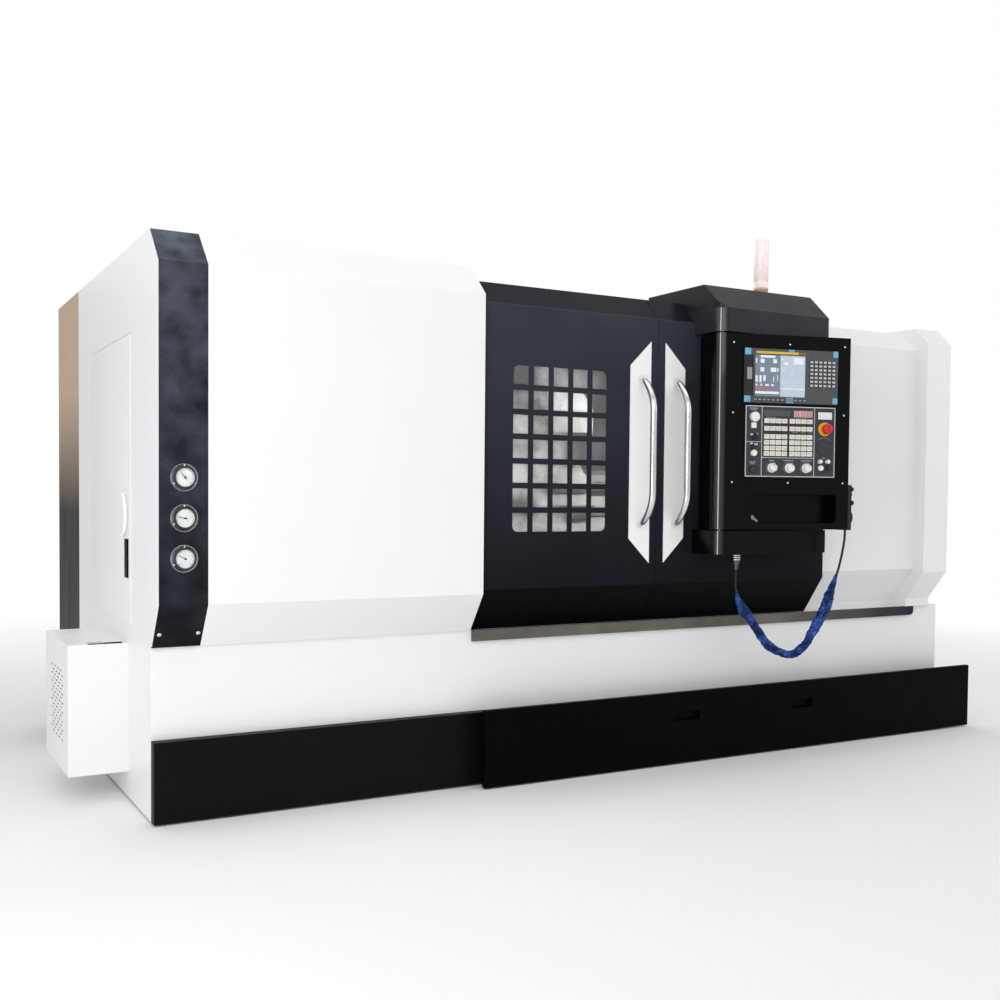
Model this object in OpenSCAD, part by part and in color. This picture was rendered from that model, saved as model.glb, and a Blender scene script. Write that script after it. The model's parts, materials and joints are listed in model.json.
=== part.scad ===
// Slant-bed turning lathe with numerical control: a folded-sheet enclosure with two
// sliding doors round a cast bed, a chucking spindle, a turret and a tailstock.
// Drawn with x from the housing's left end, y from its front and z from the floor.

/* [Lower housing] */
// Length of the lower housing
base_len = 3560; // [3500:10:3800]
// Depth of the lower housing and of the enclosure on it
base_dep = 1300; // [1280:10:1450]
// Height of the lower housing
base_h = 555; // [540:1:570]
// Thickness of the folded sheet
sheet = 3; // [2:0.5:4]
// Gap between the sheet metal and the floor
floor_gap = 6; // [4:1:10]
// Width of the ledge round the opening in the housing's top
ledge = 75; // [70:1:90]
// Length of the left kick plate
kick_len = 1176; // [1150:2:1250]
// How far the left kick plate stands out
kick_out = 40; // [25:1:60]
// Height of the left kick plate
kick_h = 262; // [250:1:280]
// Diameter of the pan head screws in the sheet metal
screw_d = 15; // [10:0.5:20]
// Height of the pan head screws
screw_h = 5; // [3:0.5:8]

/* [Coolant tank] */
// How far the tank's front plate stands out of the housing
tank_out = 112; // [90:1:140]
// How far the front plate runs past the housing's right end
tank_over = 96; // [60:1:120]
// Height of the front plate's upper edge
tank_front_h = 281; // [270:1:290]
// How far the front plate laps over the left kick plate
tank_lap = 48; // [40:1:60]
// Depth of the folded front plate
tank_front_t = 20; // [12:1:30]
// Depth of the tank from the front plate's back
tank_dep = 510; // [420:5:520]
// Height of the tank's rim
tank_h = 240; // [200:2:245]
// Height of the tank's runners
runner_h = 20; // [12:1:40]
// Width of a hand slot in the front plate
slot_w = 122; // [100:1:150]
// Height of a hand slot
slot_h = 36; // [28:1:50]
// Height of the hand slots' centres
slot_z = 188; // [150:1:210]
// Place of the first hand slot
slot_x = 2030; // [1900:5:2200]
// Distance between the hand slots
slot_pitch = 597; // [500:1:700]

/* [Enclosure] */
// How far the enclosure stands out in front of the housing
cover_out = 110; // [105:1:120]
// Height of the headstock cover
cover_top = 1852; // [1830:1:1880]
// Height of the covers' upper fold
cover_fold_top = 1738; // [1725:1:1750]
// Height of the covers' lower fold
cover_fold_low = 693; // [680:1:705]
// How far the foot of the covers stands out
cover_foot_out = 14; // [8:1:20]
// Place of the headstock cover's right edge
cover_len = 1117; // [1090:1:1125]
// Width of the two end columns
col_w = 150; // [130:1:170]
// Height of the roof over the work area
roof_z = 1782; // [1775:1:1790]
// How far the right end wall stands in from the housing's end
right_inset = 67; // [40:1:90]
// Height of the right end
right_top = 1801; // [1795:1:1810]
// Height of the right column's upper fold
right_fold_top = 1728; // [1715:1:1740]
// Height of the right column's lower fold
right_fold_low = 714; // [700:1:725]
// Height where the right column's slope ends
right_foot = 590; // [580:1:600]
// How far the recessed panel stands out
recess_out = 52; // [45:1:54]
// Height of the recessed panel's lower fold
recess_fold_low = 728; // [720:1:740]
// Height where the recessed panel's slope ends
recess_foot = 580; // [575:1:590]
// How far the recessed panel's foot stands back
recess_foot_back = 56; // [54:1:65]
// Height of the recessed panel's upper fold
recess_fold_top = 1700; // [1690:1:1704]
// Depth of the header under the roof
header_h = 70; // [50:1:90]
// Width of the header under the roof
header_w = 35; // [25:1:50]
// Height of the steel sill strip
sill_h = 40; // [30:1:50]
// Thickness of the steel sill strip
sill_t = 15; // [10:1:20]
// Distance of the sill strip from the right end wall
sill_end = 98; // [60:1:130]

/* [Doors] */
// How far the doors stand behind the headstock cover's face
door_set = 15; // [10:1:20]
// Depth of the folded door trays
door_t = 30; // [22:1:32]
// Place of the parting line between the doors
door_split = 1875; // [1850:1:1900]
// Gap between the doors
door_gap = 2; // [1:0.5:5]
// How far the left door runs behind the headstock cover
left_lap = 37; // [20:1:60]
// Width of the right door
right_door_w = 872; // [850:1:900]
// Height of the doors' upper fold
door_fold_top = 1713; // [1705:1:1718]
// Height of the doors' upper edge
door_top = 1801; // [1795:1:1804]
// Height of the doors' lower fold
door_fold_low = 708; // [700:1:715]
// How far the doors' foot stands back
door_foot_back = 10; // [8:1:14]
// Running gap under the doors and beside sliding parts
run_gap = 0.3; // [0.2:0.1:0.6]
// Distance from the window's right edge to the parting line
win_in = 235; // [210:1:260]
// Width of the window
win_w = 400; // [380:1:420]
// Height of the window's lower edge
win_z = 910; // [880:1:940]
// Height of the window
win_h = 593; // [560:1:620]
// Columns of openings in the window grid
win_cols = 5; // [4:1:6]
// Rows of openings in the window grid
win_rows = 7; // [6:1:8]
// Width of the bars between the openings
win_bar = 20; // [14:1:26]
// Corner radius of the window
win_r = 22; // [10:1:30]
// How far the pane reaches past the window
pane_lap = 15; // [8:1:25]
// Thickness of the pane
pane_t = 5; // [4:0.5:8]
// Width of a handle plate
plate_w = 95; // [80:1:105]
// Thickness of a handle plate
plate_t = 3; // [2:0.5:5]
// Distance of a handle plate from the parting line
plate_in = 34; // [25:1:45]
// Height of the handle plates' lower tip
plate_low = 787; // [760:1:810]
// Height of the handle plates' upper tip
plate_high = 1627; // [1600:1:1650]
// Height of the slanted ends of the handle plates
plate_cut = 94; // [70:1:110]
// Height of the door handles' lower end
bow_low = 933; // [900:1:960]
// Height of the door handles' upper end
bow_high = 1484; // [1450:1:1510]
// Diameter of the door handles' tube
bow_d = 26; // [20:1:32]
// How far the handles' tube stands off its plate
bow_out = 82; // [65:1:100]
// Radius of the bends at the handles' ends
bow_r = 140; // [110:1:160]

/* [Control pod] */
// Distance of the pod's left side from the parting line
pod_off = 174; // [165:1:185]
// Width of the pod
pod_w = 550; // [520:1:580]
// How far the pod stands out in front of the door
pod_out = 159; // [158:1:175]
// Radius of the pod's round front edge
pod_r = 45; // [35:1:45]
// Height of the hood's underside
hood_low = 1668; // [1660:1:1676]
// Height of the hood's fold
hood_fold = 1757; // [1745:1:1770]
// Height of the hood's top
hood_top = 1855; // [1845:1:1870]
// How far the hood reaches back over the roof
hood_back = 205; // [150:1:260]
// Gap between the hood's arm and the doors' upper edge
hood_lift = 5; // [3:1:10]
// Height of the pod foot's underside
foot_low = 822; // [800:1:840]
// Height of the pod foot's top
foot_top = 912; // [890:1:920]
// Diameter of the signal light
light_d = 58; // [50:1:70]
// Height of the signal light
light_h = 236; // [200:1:280]
// Place of the signal light from the pod's left side
light_x = 383; // [340:1:420]
// Place of the signal light in front of the housing's front plane
light_out = 40; // [20:1:60]

/* [Swivel panel] */
// Angle at which the panel stands swung out
swing = 14.5; // [10:0.5:20]
// Width of the panel from its pivot to its free end
pend_w = 522; // [515:1:535]
// Depth of the panel's case
pend_dep = 142; // [130:1:144]
// Gap between the panel and the pod's hood and foot
pend_gap = 6; // [3:1:10]
// Diameter of the pivot pins
pivot_d = 30; // [20:1:40]
// Length of the pivot pins in their sockets
pivot_len = 20; // [12:1:30]
// Place of the screen unit from the pivot
screen_x = 65; // [55:1:75]
// Height of the screen unit's lower edge
screen_z = 1401; // [1396:1:1406]
// Width of the screen unit
screen_w = 398; // [390:1:405]
// Height of the screen unit
screen_h = 206; // [200:1:212]
// How far the screen unit stands out
screen_t = 8; // [5:0.5:12]
// Width of the display
lcd_w = 212; // [200:1:216]
// Height of the display
lcd_h = 158; // [150:1:160]
// Place of the operator panel from the pivot
panel_x = 74; // [64:1:84]
// Height of the operator panel's lower edge
panel_z = 1119; // [1112:1:1122]
// Width of the operator panel
panel_w = 383; // [378:1:390]
// Height of the operator panel
panel_h = 272; // [268:1:276]
// How far the operator panel stands out
panel_t = 6; // [4:0.5:10]
// Diameter of the override knobs
knob_d = 37; // [30:1:42]
// Height of the override knobs
knob_h = 22; // [14:1:30]
// Diameter of the knobs' spindles
knob_pin_d = 12; // [8:1:16]
// Diameter of the emergency stop's head
stop_d = 42; // [34:1:46]
// Diameter of the emergency stop's ring
stop_ring_d = 52; // [48:1:60]
// Width of the tool pocket under the operator panel
pocket_w = 362; // [340:1:380]
// Height of the tool pocket
pocket_h = 110; // [90:1:116]
// Depth of the tool pocket
pocket_dep = 60; // [40:1:80]
// Height of the tool pocket's floor
pocket_z = 943; // [938:1:950]
// Width of the handwheel unit on the panel's free end
wheel_box_w = 43; // [35:1:50]
// Depth of the handwheel unit
wheel_box_dep = 65; // [55:1:75]
// Height of the handwheel unit
wheel_box_h = 178; // [160:1:190]
// Diameter of the handwheel
wheel_d = 56; // [40:1:60]

/* [Left end] */
// Rear edge of the white end wall's access door
side_back = 1000; // [950:5:1050]
// Width of the access door
side_w = 722; // [650:2:760]
// Height of the access door's lower edge over the lower housing
side_up = 41; // [25:1:85]
// Height of the access door
side_h = 970; // [900:5:1020]
// Gap round the access door
side_gap = 2; // [1:0.5:4]
// Depth of the access door's folded edge
side_fold = 20; // [12:1:30]
// Width of the vented box beside the housing
box_w = 194; // [160:2:220]
// Place of the vented box's front
box_y = 337; // [300:1:380]
// Depth of the vented box
box_dep = 488; // [450:2:520]
// Height of the vented box's underside
box_z = 95; // [80:1:120]
// Height of the vented box
box_h = 437; // [400:1:450]
// Length of a vent slot
vent_w = 38; // [30:1:45]
// Height of a vent slot
vent_h = 6; // [4:0.5:8]
// Depth of the electrical cabinet at the back
cab_dep = 500; // [450:10:600]
// Depth of the cabinet's door
cab_door_t = 24; // [18:1:30]
// Diameter of the gauges' flanges
gauge_d = 85; // [70:1:95]
// Diameter of the gauges' cases
gauge_case_d = 60; // [50:1:66]
// How far the gauges' cases stand out
gauge_out = 22; // [14:1:28]
// Height of the lowest gauge
gauge_z = 837; // [800:1:870]
// Distance between the gauges
gauge_pitch = 124; // [105:1:140]

/* [Bed and spindle] */
// Slant of the bed
slant = 45; // [40:1:46]
// Distance of the spindle's axis behind the housing's front
axis_y = 430; // [425:1:450]
// Height of the spindle's axis
axis_z = 1130; // [1115:1:1140]
// Height of the spindle's axis over the bed's face
ctr_h = 300; // [290:1:310]
// Left end of the bed
bed_x0 = 560; // [540:5:580]
// Distance of the bed's right end from the housing's right end
bed_end = 410; // [380:5:440]
// Wall of the bed casting
bed_wall = 45; // [30:1:60]
// Height of the bed's feet
bed_foot = 60; // [50:1:90]
// Bed face below the spindle's axis, measured along the slant
bed_down = 270; // [260:1:275]
// Bed face above the spindle's axis, measured along the slant
bed_up = 370; // [360:1:380]
// Diameter of a levelling pad
pad_d = 120; // [90:5:150]
// Width of a guide rail
rail_w = 34; // [28:1:40]
// Height of a guide rail
rail_h = 30; // [24:1:34]
// Right face of the headstock
head_x1 = 1010; // [1000:1:1020]
// Length of the headstock
head_len = 410; // [380:5:430]
// Diameter of the spindle
spindle_d = 130; // [110:1:150]
// Diameter of the bore through the spindle
bore_d = 62; // [50:1:70]
// Diameter of the spindle's nose
nose_d = 220; // [200:1:230]
// Diameter of the chuck
chuck_d = 254; // [240:1:270]
// Length of the chuck
chuck_len = 102; // [90:1:120]
// Width of a chuck jaw's guide
jaw_w = 30; // [24:1:34]
// Height of a chuck jaw in front of the chuck's face
jaw_h = 50; // [40:1:60]
// Diameter of the belt pulleys
pulley_d = 200; // [180:1:210]
// Width of the belt pulleys
pulley_w = 80; // [60:1:90]
// Thickness of the drive belt
belt_t = 10; // [6:1:14]
// Width and height of the spindle motor
motor_w = 300; // [260:2:320]
// Length of the spindle motor
motor_len = 325; // [280:5:330]
// Height of the motor's shelf
shelf_z = 240; // [220:2:260]
// Distance of the motor's axis behind the housing's front
motor_y = 610; // [600:5:640]
// Diameter of the feed screw
feed_d = 40; // [30:1:44]

/* [Slides] */
// Left end of the saddle
saddle_x = 1760; // [1720:5:1800]
// Length of the saddle
saddle_len = 300; // [280:5:320]
// Thickness of the saddle over the rails
saddle_t = 60; // [50:1:70]
// Thickness of the cross slide
cross_t = 60; // [50:1:70]
// Distance of the turret's axis from the spindle's axis, along the slant
turret_u = 330; // [325:1:345]
// Width across the turret's corners
turret_d = 380; // [360:2:384]
// Thickness of the turret
turret_t = 90; // [70:1:100]
// Stations round the turret
stations = 12; // [8:1:12]
// How far a tool holder stands out of the turret
holder_out = 40; // [30:1:50]
// Distance of the tailstock from the bed's right end
tail_end = 200; // [150:5:230]
// Length of the tailstock
tail_len = 300; // [260:5:320]
// Diameter of the quill
quill_d = 100; // [80:1:110]
// How far the quill stands out of the tailstock
quill_out = 60; // [40:1:80]
// Length of the quill's centre point
centre_len = 60; // [40:1:70]

/* [Hidden] */
$fn = 64;
lip = 4;
seat_gap = 0.05;
door_y = -(cover_out - door_set);
cover_ridge = cover_top - cover_fold_top - cover_out;
door_ridge = door_y + door_top - door_fold_top;
right_x1 = base_len - right_inset;
right_x0 = right_x1 - col_w;
right_door_x0 = door_split + door_gap / 2;
left_door_x1 = door_split - door_gap / 2;
left_door_x0 = cover_len - left_lap;
right_door_x1 = right_door_x0 + right_door_w;
recess_x0 = right_door_x1 - 60;
door_foot_z = base_h + run_gap;
side_z = base_h + side_up;
cab_back = base_dep + cab_dep;
cab_rear = cab_back + cab_door_t;

// Folds of the sheets, as points of y and z from the foot upwards
cover_line = [
    [lip, base_h],
    [-cover_foot_out, base_h],
    [-cover_out, cover_fold_low],
    [-cover_out, cover_fold_top],
    [cover_ridge, cover_top],
];
cover_shell = concat(cover_line, [[base_dep, cover_top]]);
door_line = [
    [door_foot_back, door_foot_z],
    [door_y, door_fold_low],
    [door_y, door_fold_top],
    [door_ridge, door_top],
];
recess_line = [
    [recess_foot_back, base_h],
    [recess_foot_back, recess_foot],
    [-recess_out, recess_fold_low],
    [-recess_out, recess_fold_top],
    [roof_z - recess_fold_top - recess_out, roof_z],
];
right_line = [
    [-cover_foot_out, base_h],
    [-cover_foot_out, right_foot],
    [-cover_out, right_fold_low],
    [-cover_out, right_fold_top],
    [right_top - right_fold_top - cover_out, right_top],
    [base_dep, right_top],
];

// Pod, pivot and parts of the swivel panel
pod_x = door_split + pod_off;
pod_y = door_y - pod_out;
pivot_x = pod_x + pod_r;
pivot_y = pod_y + pod_r;
pend_low = foot_top + pend_gap;
pend_high = hood_low - pend_gap;
pend_back = pend_dep - pod_r;
knob_gap = run_gap;
knob_deep = 14;
stop_x = panel_x + 335;
stop_z = panel_z + 187;
stop_stem_d = 22;
stop_head_h = 18;
stop_lift = 12;
stop_ring_h = 6;
knob_z = panel_z + 35;
feed_x = panel_x + 113;
rapid_x = panel_x + 187;
speed_x = panel_x + 259;
pocket_x = panel_x + 33;
wheel_box_y = -20;
wheel_box_z = pend_low - 3;
wheel_len = 12;
cord_s = pend_w + 23;
cord_t = 10;

// Bed, spindle and slides
bed_y = axis_y + ctr_h * sin(slant);
bed_z = axis_z - ctr_h * cos(slant);
function bed_point(u, v) = [
    bed_y + u * cos(slant) - v * sin(slant),
    bed_z + u * sin(slant) + v * cos(slant),
];
bed_x1 = base_len - bed_end;
tail_x = bed_x1 - tail_end - tail_len;
head_x0 = head_x1 - head_len;
bed_back = 1200;
pulley_x = head_x0 - pulley_w - 115;
cylinder_len = 170;
cylinder_d = 190;
spindle_x0 = pulley_x - 70;
motor_z = shelf_z + motor_w / 2;
motor_x1 = pulley_x - 15;
nose_x = head_x1 + 8;
nose_t = 30;
chuck_x = nose_x + nose_t;
jaw_x = chuck_x + chuck_len;
jaw_deep = 40;
jaw_in = 55;
jaw_len = 62;
saddle_rails = [60, 330];
tail_rails = [-215, -75];
rail_x0 = head_x1 + 50;
tail_rail_x0 = tail_x - 750;
feed_u = 195;
feed_v = 45;
bearing_len = 40;
block_w = 70;
saddle_top = rail_h + saddle_t;
cross_top = saddle_top + run_gap + cross_t;
turret_x = saddle_x - turret_t - 5;
tower_x = turret_x + turret_t + run_gap;
splash_x = head_x1 + 2;

// Route of the handwheel's cord, as hand-picked points
cord_d = 9;
sleeve_d = 44;
connector = [pod_x + 135, door_y - 105];
connector_d = 26;
connector_h = 62;
function from_pod(pts) = [for (p = pts) [pod_x, door_y, 0] + p];
cord_start = from_pod([
    [135, -105, 759.6], [134, -105, 720], [135, -105, 690], [140.8, -107.9, 656.2],
]);
sleeve_route = from_pod([
    [141, -108, 655], [158, -113, 615], [191, -122, 570], [226, -133, 520], [277, -149, 456],
    [347, -170, 424], [391, -184, 436], [431, -197, 480], [475, -210, 560], [510, -221, 640],
    [538, -229, 722],
]);
cord_finish = from_pod([
    [538.2, -229.1, 722.6], [551, -233, 760], [565, -238, 823], [573, -241, 880],
]);
sleeve_sizes = [0.3, 0.6, 0.9, 1, 0.95, 0.9, 0.85, 0.95, 1, 0.9, 0.3];

// The finished part stands with the middle of its footprint at the origin
front_reach = (stop_x + stop_d / 2) * sin(swing)
    + (pod_r + panel_t + stop_ring_h + stop_lift + stop_head_h) * cos(swing);
front_y = pivot_y - front_reach;
mid_x = (base_len + tank_over - box_w) / 2;
mid_y = (front_y + cab_rear) / 2;

WHITE = [0.93, 0.94, 0.94];
BLACK = [0.09, 0.09, 0.1];
SLATE = [0.16, 0.17, 0.2];
STEEL = [0.6, 0.6, 0.6];
IRON = [0.45, 0.48, 0.47];

// Points of a folded line set in from the line by a depth, on its inner side
function unit(v) = v / norm(v);
function inward(v) = [v[1], -v[0]];
function miter(p, a, b, t) =
    let (m = inward(a), n = inward(b)) p + t * (m + n) / (1 + m * n);
function leg(pts, i) = unit(pts[i + 1] - pts[i]);
function inset_line(pts, t) = [
    for (i = [0:len(pts) - 1])
        let (a = leg(pts, max(i - 1, 0)), b = leg(pts, min(i, len(pts) - 2)))
            miter(pts[i], a, b, t)
];
function inset_loop(pts, t) = [
    for (i = [0:len(pts) - 1])
        let (n = len(pts), a = unit(pts[i] - pts[(i + n - 1) % n]), b = unit(pts[(i + 1) % n] - pts[i]))
            miter(pts[i], a, b, t)
];
function reversed(list) = [for (i = [len(list) - 1:-1:0]) list[i]];
function trimmed(pts, d) =
    let (last = len(pts) - 1) [
        for (i = [0:last])
            i == 0 ? pts[0] + d * leg(pts, 0) : i == last ? pts[last] - d * leg(pts, last - 1) : pts[i]
    ];

// Moves a piece drawn from the housing's corner to the finished part's frame
module placed() {
    translate([-mid_x, -mid_y, 0]) children();
}

// Extrudes an outline of y and z from one x to another
module along_x(x0, x1) {
    translate([x0, 0, 0]) rotate([90, 0, 90]) linear_extrude(x1 - x0) children();
}

// Extrudes an outline of x and z forwards from a plane of constant y
module forward(y, depth) {
    translate([0, y, 0]) rotate([90, 0, 0]) linear_extrude(depth) children();
}

module folded(pts, t) {
    polygon(concat(pts, reversed(inset_line(pts, t))));
}

module round_rect(w, h, r) {
    translate([r, 0]) square([w - 2 * r, h]);
    translate([0, r]) square([w, h - 2 * r]);
    for (x = [r, w - r], y = [r, h - r]) translate([x, y]) circle(r);
}

// A plan with one round corner at its front left
module pod_plan(x0, x1, y0, y1, r) {
    translate([x0 + r, y0]) square([x1 - x0 - r, y1 - y0]);
    translate([x0, y0 + r]) square([x1 - x0, y1 - y0 - r]);
    translate([x0 + r, y0 + r]) circle(r);
}

// Local frame of the swivel panel: x along its face, y to its back
module at_panel() {
    translate([pivot_x, pivot_y, 0]) rotate([0, 0, -swing]) children();
}

// Local frame of the bed's face: x along the bed, y up the slant, z off the face
module on_bed(v = 0) {
    translate([0, bed_y, bed_z]) rotate([slant, 0, 0]) translate([0, 0, v]) children();
}

// A cylinder along x round an axis of y and z
module round_bar(x0, x1, y, z, d) {
    translate([x0, y, z]) rotate([0, 90, 0]) cylinder(h = x1 - x0, d = d);
}

module base_apron() color(WHITE) placed() difference() {
    translate([0, 0, floor_gap]) cube([base_len, base_dep, base_h - floor_gap]);
    translate([sheet, sheet, -1]) cube([base_len - 2 * sheet, base_dep - 2 * sheet, base_h - sheet + 1]);
    translate([ledge, ledge, base_h - 2 * sheet])
        cube([right_x0 - ledge, base_dep - 2 * ledge, 3 * sheet]);
    translate([kick_len + 10, -1, -1])
        cube([base_len - kick_len - 30, sheet + 2, tank_h + 11]);
}

module left_kick_plate() color(BLACK) placed() difference() {
    translate([0, -kick_out, floor_gap]) cube([kick_len, kick_out, kick_h - floor_gap]);
    translate([sheet, sheet - kick_out, -1])
        cube([kick_len - 2 * sheet, kick_out, kick_h - sheet + 1]);
}

pad_rows = [axis_y + 110, bed_back - 90];
pad_step = (bed_x1 - bed_x0 - 300) / 4;

module levelling_feet() color(STEEL) placed() {
    for (i = [0:4], y = pad_rows) translate([bed_x0 + 150 + i * pad_step, y, 0]) {
        cylinder(h = 22, d = pad_d);
        cylinder(h = bed_foot, d = 40);
    }
}

function bed_outline(low) = [
    [bed_point(-bed_down, 0)[0], low],
    bed_point(-bed_down, 0),
    bed_point(bed_up, 0),
    bed_point(bed_up + 20, -70),
    [bed_back, 760],
    [bed_back, low],
];
bed_bays = 4;
bay_len = (bed_x1 - bed_x0 - bed_wall) / bed_bays;
lug_w = 90;

module bed_casting() color(IRON) placed() {
    difference() {
        along_x(bed_x0, bed_x1) polygon(bed_outline(bed_foot));
        for (i = [0:bed_bays - 1])
            along_x(bed_x0 + bed_wall + i * bay_len, bed_x0 + (i + 1) * bay_len)
                polygon(inset_loop(bed_outline(bed_foot - 2 * bed_wall), bed_wall));
    }
    // Soles over the levelling pads
    for (i = [0:4], y = pad_rows)
        translate([bed_x0 + 150 + i * pad_step - pad_d / 2, y - pad_d / 2, bed_foot])
            cube([pad_d, pad_d, bed_wall]);
    // Shelf for the spindle motor
    translate([motor_x1 - motor_len, motor_y - motor_w / 2, shelf_z - bed_wall])
        cube([bed_x0 - motor_x1 + motor_len, motor_w, bed_wall]);
    // Lugs to the rear wall of the housing
    for (x = [bed_x0 + 300, bed_x1 - 300])
        translate([x, bed_back, base_h - 150]) cube([lug_w, base_dep - sheet - bed_back, 90]);
    // Bearing block of the feed screw
    on_bed() difference() {
        translate([rail_x0, feed_u - block_w / 2, 0])
            cube([bearing_len, block_w, feed_v + block_w / 2]);
        round_bar(rail_x0 - 1, rail_x0 + bearing_len + 1, feed_u, feed_v, feed_d + 2 * run_gap);
    }
}

module guide_rails() color(STEEL) placed() on_bed(seat_gap) {
    for (u = saddle_rails) translate([rail_x0, u - rail_w / 2, 0])
        cube([bed_x1 - rail_x0 - 20, rail_w, rail_h]);
    for (u = tail_rails) translate([tail_rail_x0, u - rail_w / 2, 0])
        cube([bed_x1 - tail_rail_x0 - 20, rail_w, rail_h]);
}

module headstock() color(IRON) placed() on_bed(seat_gap) difference() {
    along_x(head_x0, head_x1) polygon([
        [-200, 0], [-200, ctr_h + 100], [-110, ctr_h + 190], [110, ctr_h + 190],
        [200, ctr_h + 100], [260, 160], [260, 0],
    ]);
    round_bar(head_x0 - 1, head_x1 + 1, 0, ctr_h, spindle_d + 2 * run_gap);
}

module spindle() color(STEEL) placed() translate([0, axis_y, axis_z]) difference() {
    union() {
        round_bar(spindle_x0, nose_x + 1, 0, 0, spindle_d);
        round_bar(nose_x, chuck_x, 0, 0, nose_d);
        round_bar(spindle_x0 - cylinder_len, spindle_x0, 0, 0, cylinder_d);
        round_bar(pulley_x, pulley_x + pulley_w, 0, 0, pulley_d);
        for (x = [pulley_x - 6, pulley_x + pulley_w]) round_bar(x, x + 6, 0, 0, pulley_d + 16);
    }
    round_bar(spindle_x0 - cylinder_len - 1, chuck_x + 1, 0, 0, bore_d);
}

module chuck() color(STEEL) placed() translate([0, axis_y, axis_z]) difference() {
    round_bar(chuck_x, jaw_x, 0, 0, chuck_d);
    round_bar(chuck_x - 1, jaw_x + 1, 0, 0, bore_d);
    for (i = [0:2]) rotate([i * 120, 0, 0])
        translate([jaw_x - jaw_deep, -jaw_w / 2, 0]) cube([jaw_deep + 1, jaw_w, chuck_d]);
}

// A jaw with its guide in the chuck's slot and a stepped hard top
module jaw(i) color(STEEL) placed() translate([0, axis_y, axis_z]) rotate([i * 120, 0, 0]) {
    translate([jaw_x - jaw_deep + run_gap, -jaw_w / 2 + run_gap, jaw_in])
        cube([jaw_deep, jaw_w - 2 * run_gap, jaw_len]);
    translate([jaw_x + run_gap, -jaw_w / 2 - 5, jaw_in]) cube([jaw_h, jaw_w + 10, jaw_len / 2]);
    translate([jaw_x + run_gap, -jaw_w / 2 - 5, jaw_in]) cube([jaw_h / 2, jaw_w + 10, jaw_len]);
}
module jaw_1() jaw(0);
module jaw_2() jaw(1);
module jaw_3() jaw(2);

module spindle_motor() color(SLATE) placed() difference() {
    union() {
        translate([motor_x1 - motor_len, motor_y - motor_w / 2, shelf_z])
            cube([motor_len, motor_w, motor_w]);
        translate([motor_x1 - motor_len + 60, motor_y - 70, shelf_z + motor_w]) cube([150, 140, 60]);
    }
    round_bar(motor_x1 - 60, motor_x1 + 1, motor_y, motor_z, 48 + 2 * run_gap);
}

module motor_pulley() color(STEEL) placed() translate([0, motor_y, motor_z]) {
    round_bar(motor_x1 - 60 + run_gap, pulley_x + 1, 0, 0, 48);
    round_bar(pulley_x, pulley_x + pulley_w, 0, 0, pulley_d);
    for (x = [pulley_x - 6, pulley_x + pulley_w]) round_bar(x, x + 6, 0, 0, pulley_d + 16);
}

belt_run = norm([motor_y - axis_y, motor_z - axis_z]);
belt_lean = atan2(motor_y - axis_y, axis_z - motor_z);
belt_r = pulley_d / 2 + run_gap;

module belt_half() difference() {
    circle(belt_r + belt_t);
    circle(belt_r);
    translate([-2 * belt_r, -4 * belt_r]) square([4 * belt_r, 4 * belt_r]);
}

module drive_belt() color(BLACK) placed() translate([0, axis_y, axis_z]) rotate([belt_lean, 0, 0])
    along_x(pulley_x + 4, pulley_x + pulley_w - 4) {
        belt_half();
        translate([0, -belt_run]) mirror([0, 1]) belt_half();
        for (side = [-belt_r - belt_t, belt_r]) translate([side, -belt_run]) square([belt_t, belt_run]);
    }

feed_motor_w = 130;

module feed_motor() color(BLACK) placed() on_bed() {
    difference() {
        translate([bed_x1, feed_u - feed_motor_w / 2, feed_v - feed_motor_w / 2])
            cube([20, feed_motor_w, feed_motor_w]);
        round_bar(bed_x1 - 1, bed_x1 + 12, feed_u, feed_v, feed_d + 2 * run_gap);
    }
    translate([bed_x1 + 20, feed_u - feed_motor_w / 2 + 8, feed_v - feed_motor_w / 2 + 8])
        cube([150, feed_motor_w - 16, feed_motor_w - 16]);
}

module feed_screw() color(STEEL) placed() on_bed()
    round_bar(rail_x0, bed_x1 + 10, feed_u, feed_v, feed_d);

module splash_guard() color(STEEL) placed() {
    difference() {
        along_x(splash_x, splash_x + sheet) polygon([
            [ledge, tank_h + 60],
            [ledge, roof_z - header_h - 10],
            [bed_point(bed_up, 0)[0], roof_z - header_h - 10],
            bed_point(bed_up, 3),
            bed_point(-bed_down, 3),
            [bed_point(-bed_down, 0)[0] - 3, tank_h + 60],
        ]);
        round_bar(splash_x - 1, splash_x + sheet + 1, axis_y, axis_z, nose_d + 16);
    }
    // Lining of the rear wall
    translate([splash_x, base_dep - 2 * sheet, base_h])
        cube([right_x0 - splash_x, sheet, roof_z - base_h - header_h]);
    // Chute that leads chips from the sill into the tank
    along_x(splash_x, right_x0) folded([
        [ledge, base_h - sheet], [ledge + sheet, base_h - 60], [ledge + 120, tank_h + 30],
    ], -sheet);
}

module electrical_cabinet() color(SLATE) placed() difference() {
    translate([0, base_dep, floor_gap]) cube([cover_len, cab_dep, cover_top - floor_gap]);
    translate([sheet, base_dep + sheet, floor_gap + sheet])
        cube([cover_len - 2 * sheet, cab_dep, cover_top - floor_gap - 2 * sheet]);
}

module cabinet_door() color(SLATE) placed() {
    difference() {
        translate([0, cab_back, floor_gap]) cube([cover_len, cab_door_t, cover_top - floor_gap]);
        translate([sheet, cab_back - 1, floor_gap + sheet])
            cube([cover_len - 2 * sheet, cab_door_t - sheet + 1, cover_top - floor_gap - 2 * sheet]);
    }
}

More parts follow.
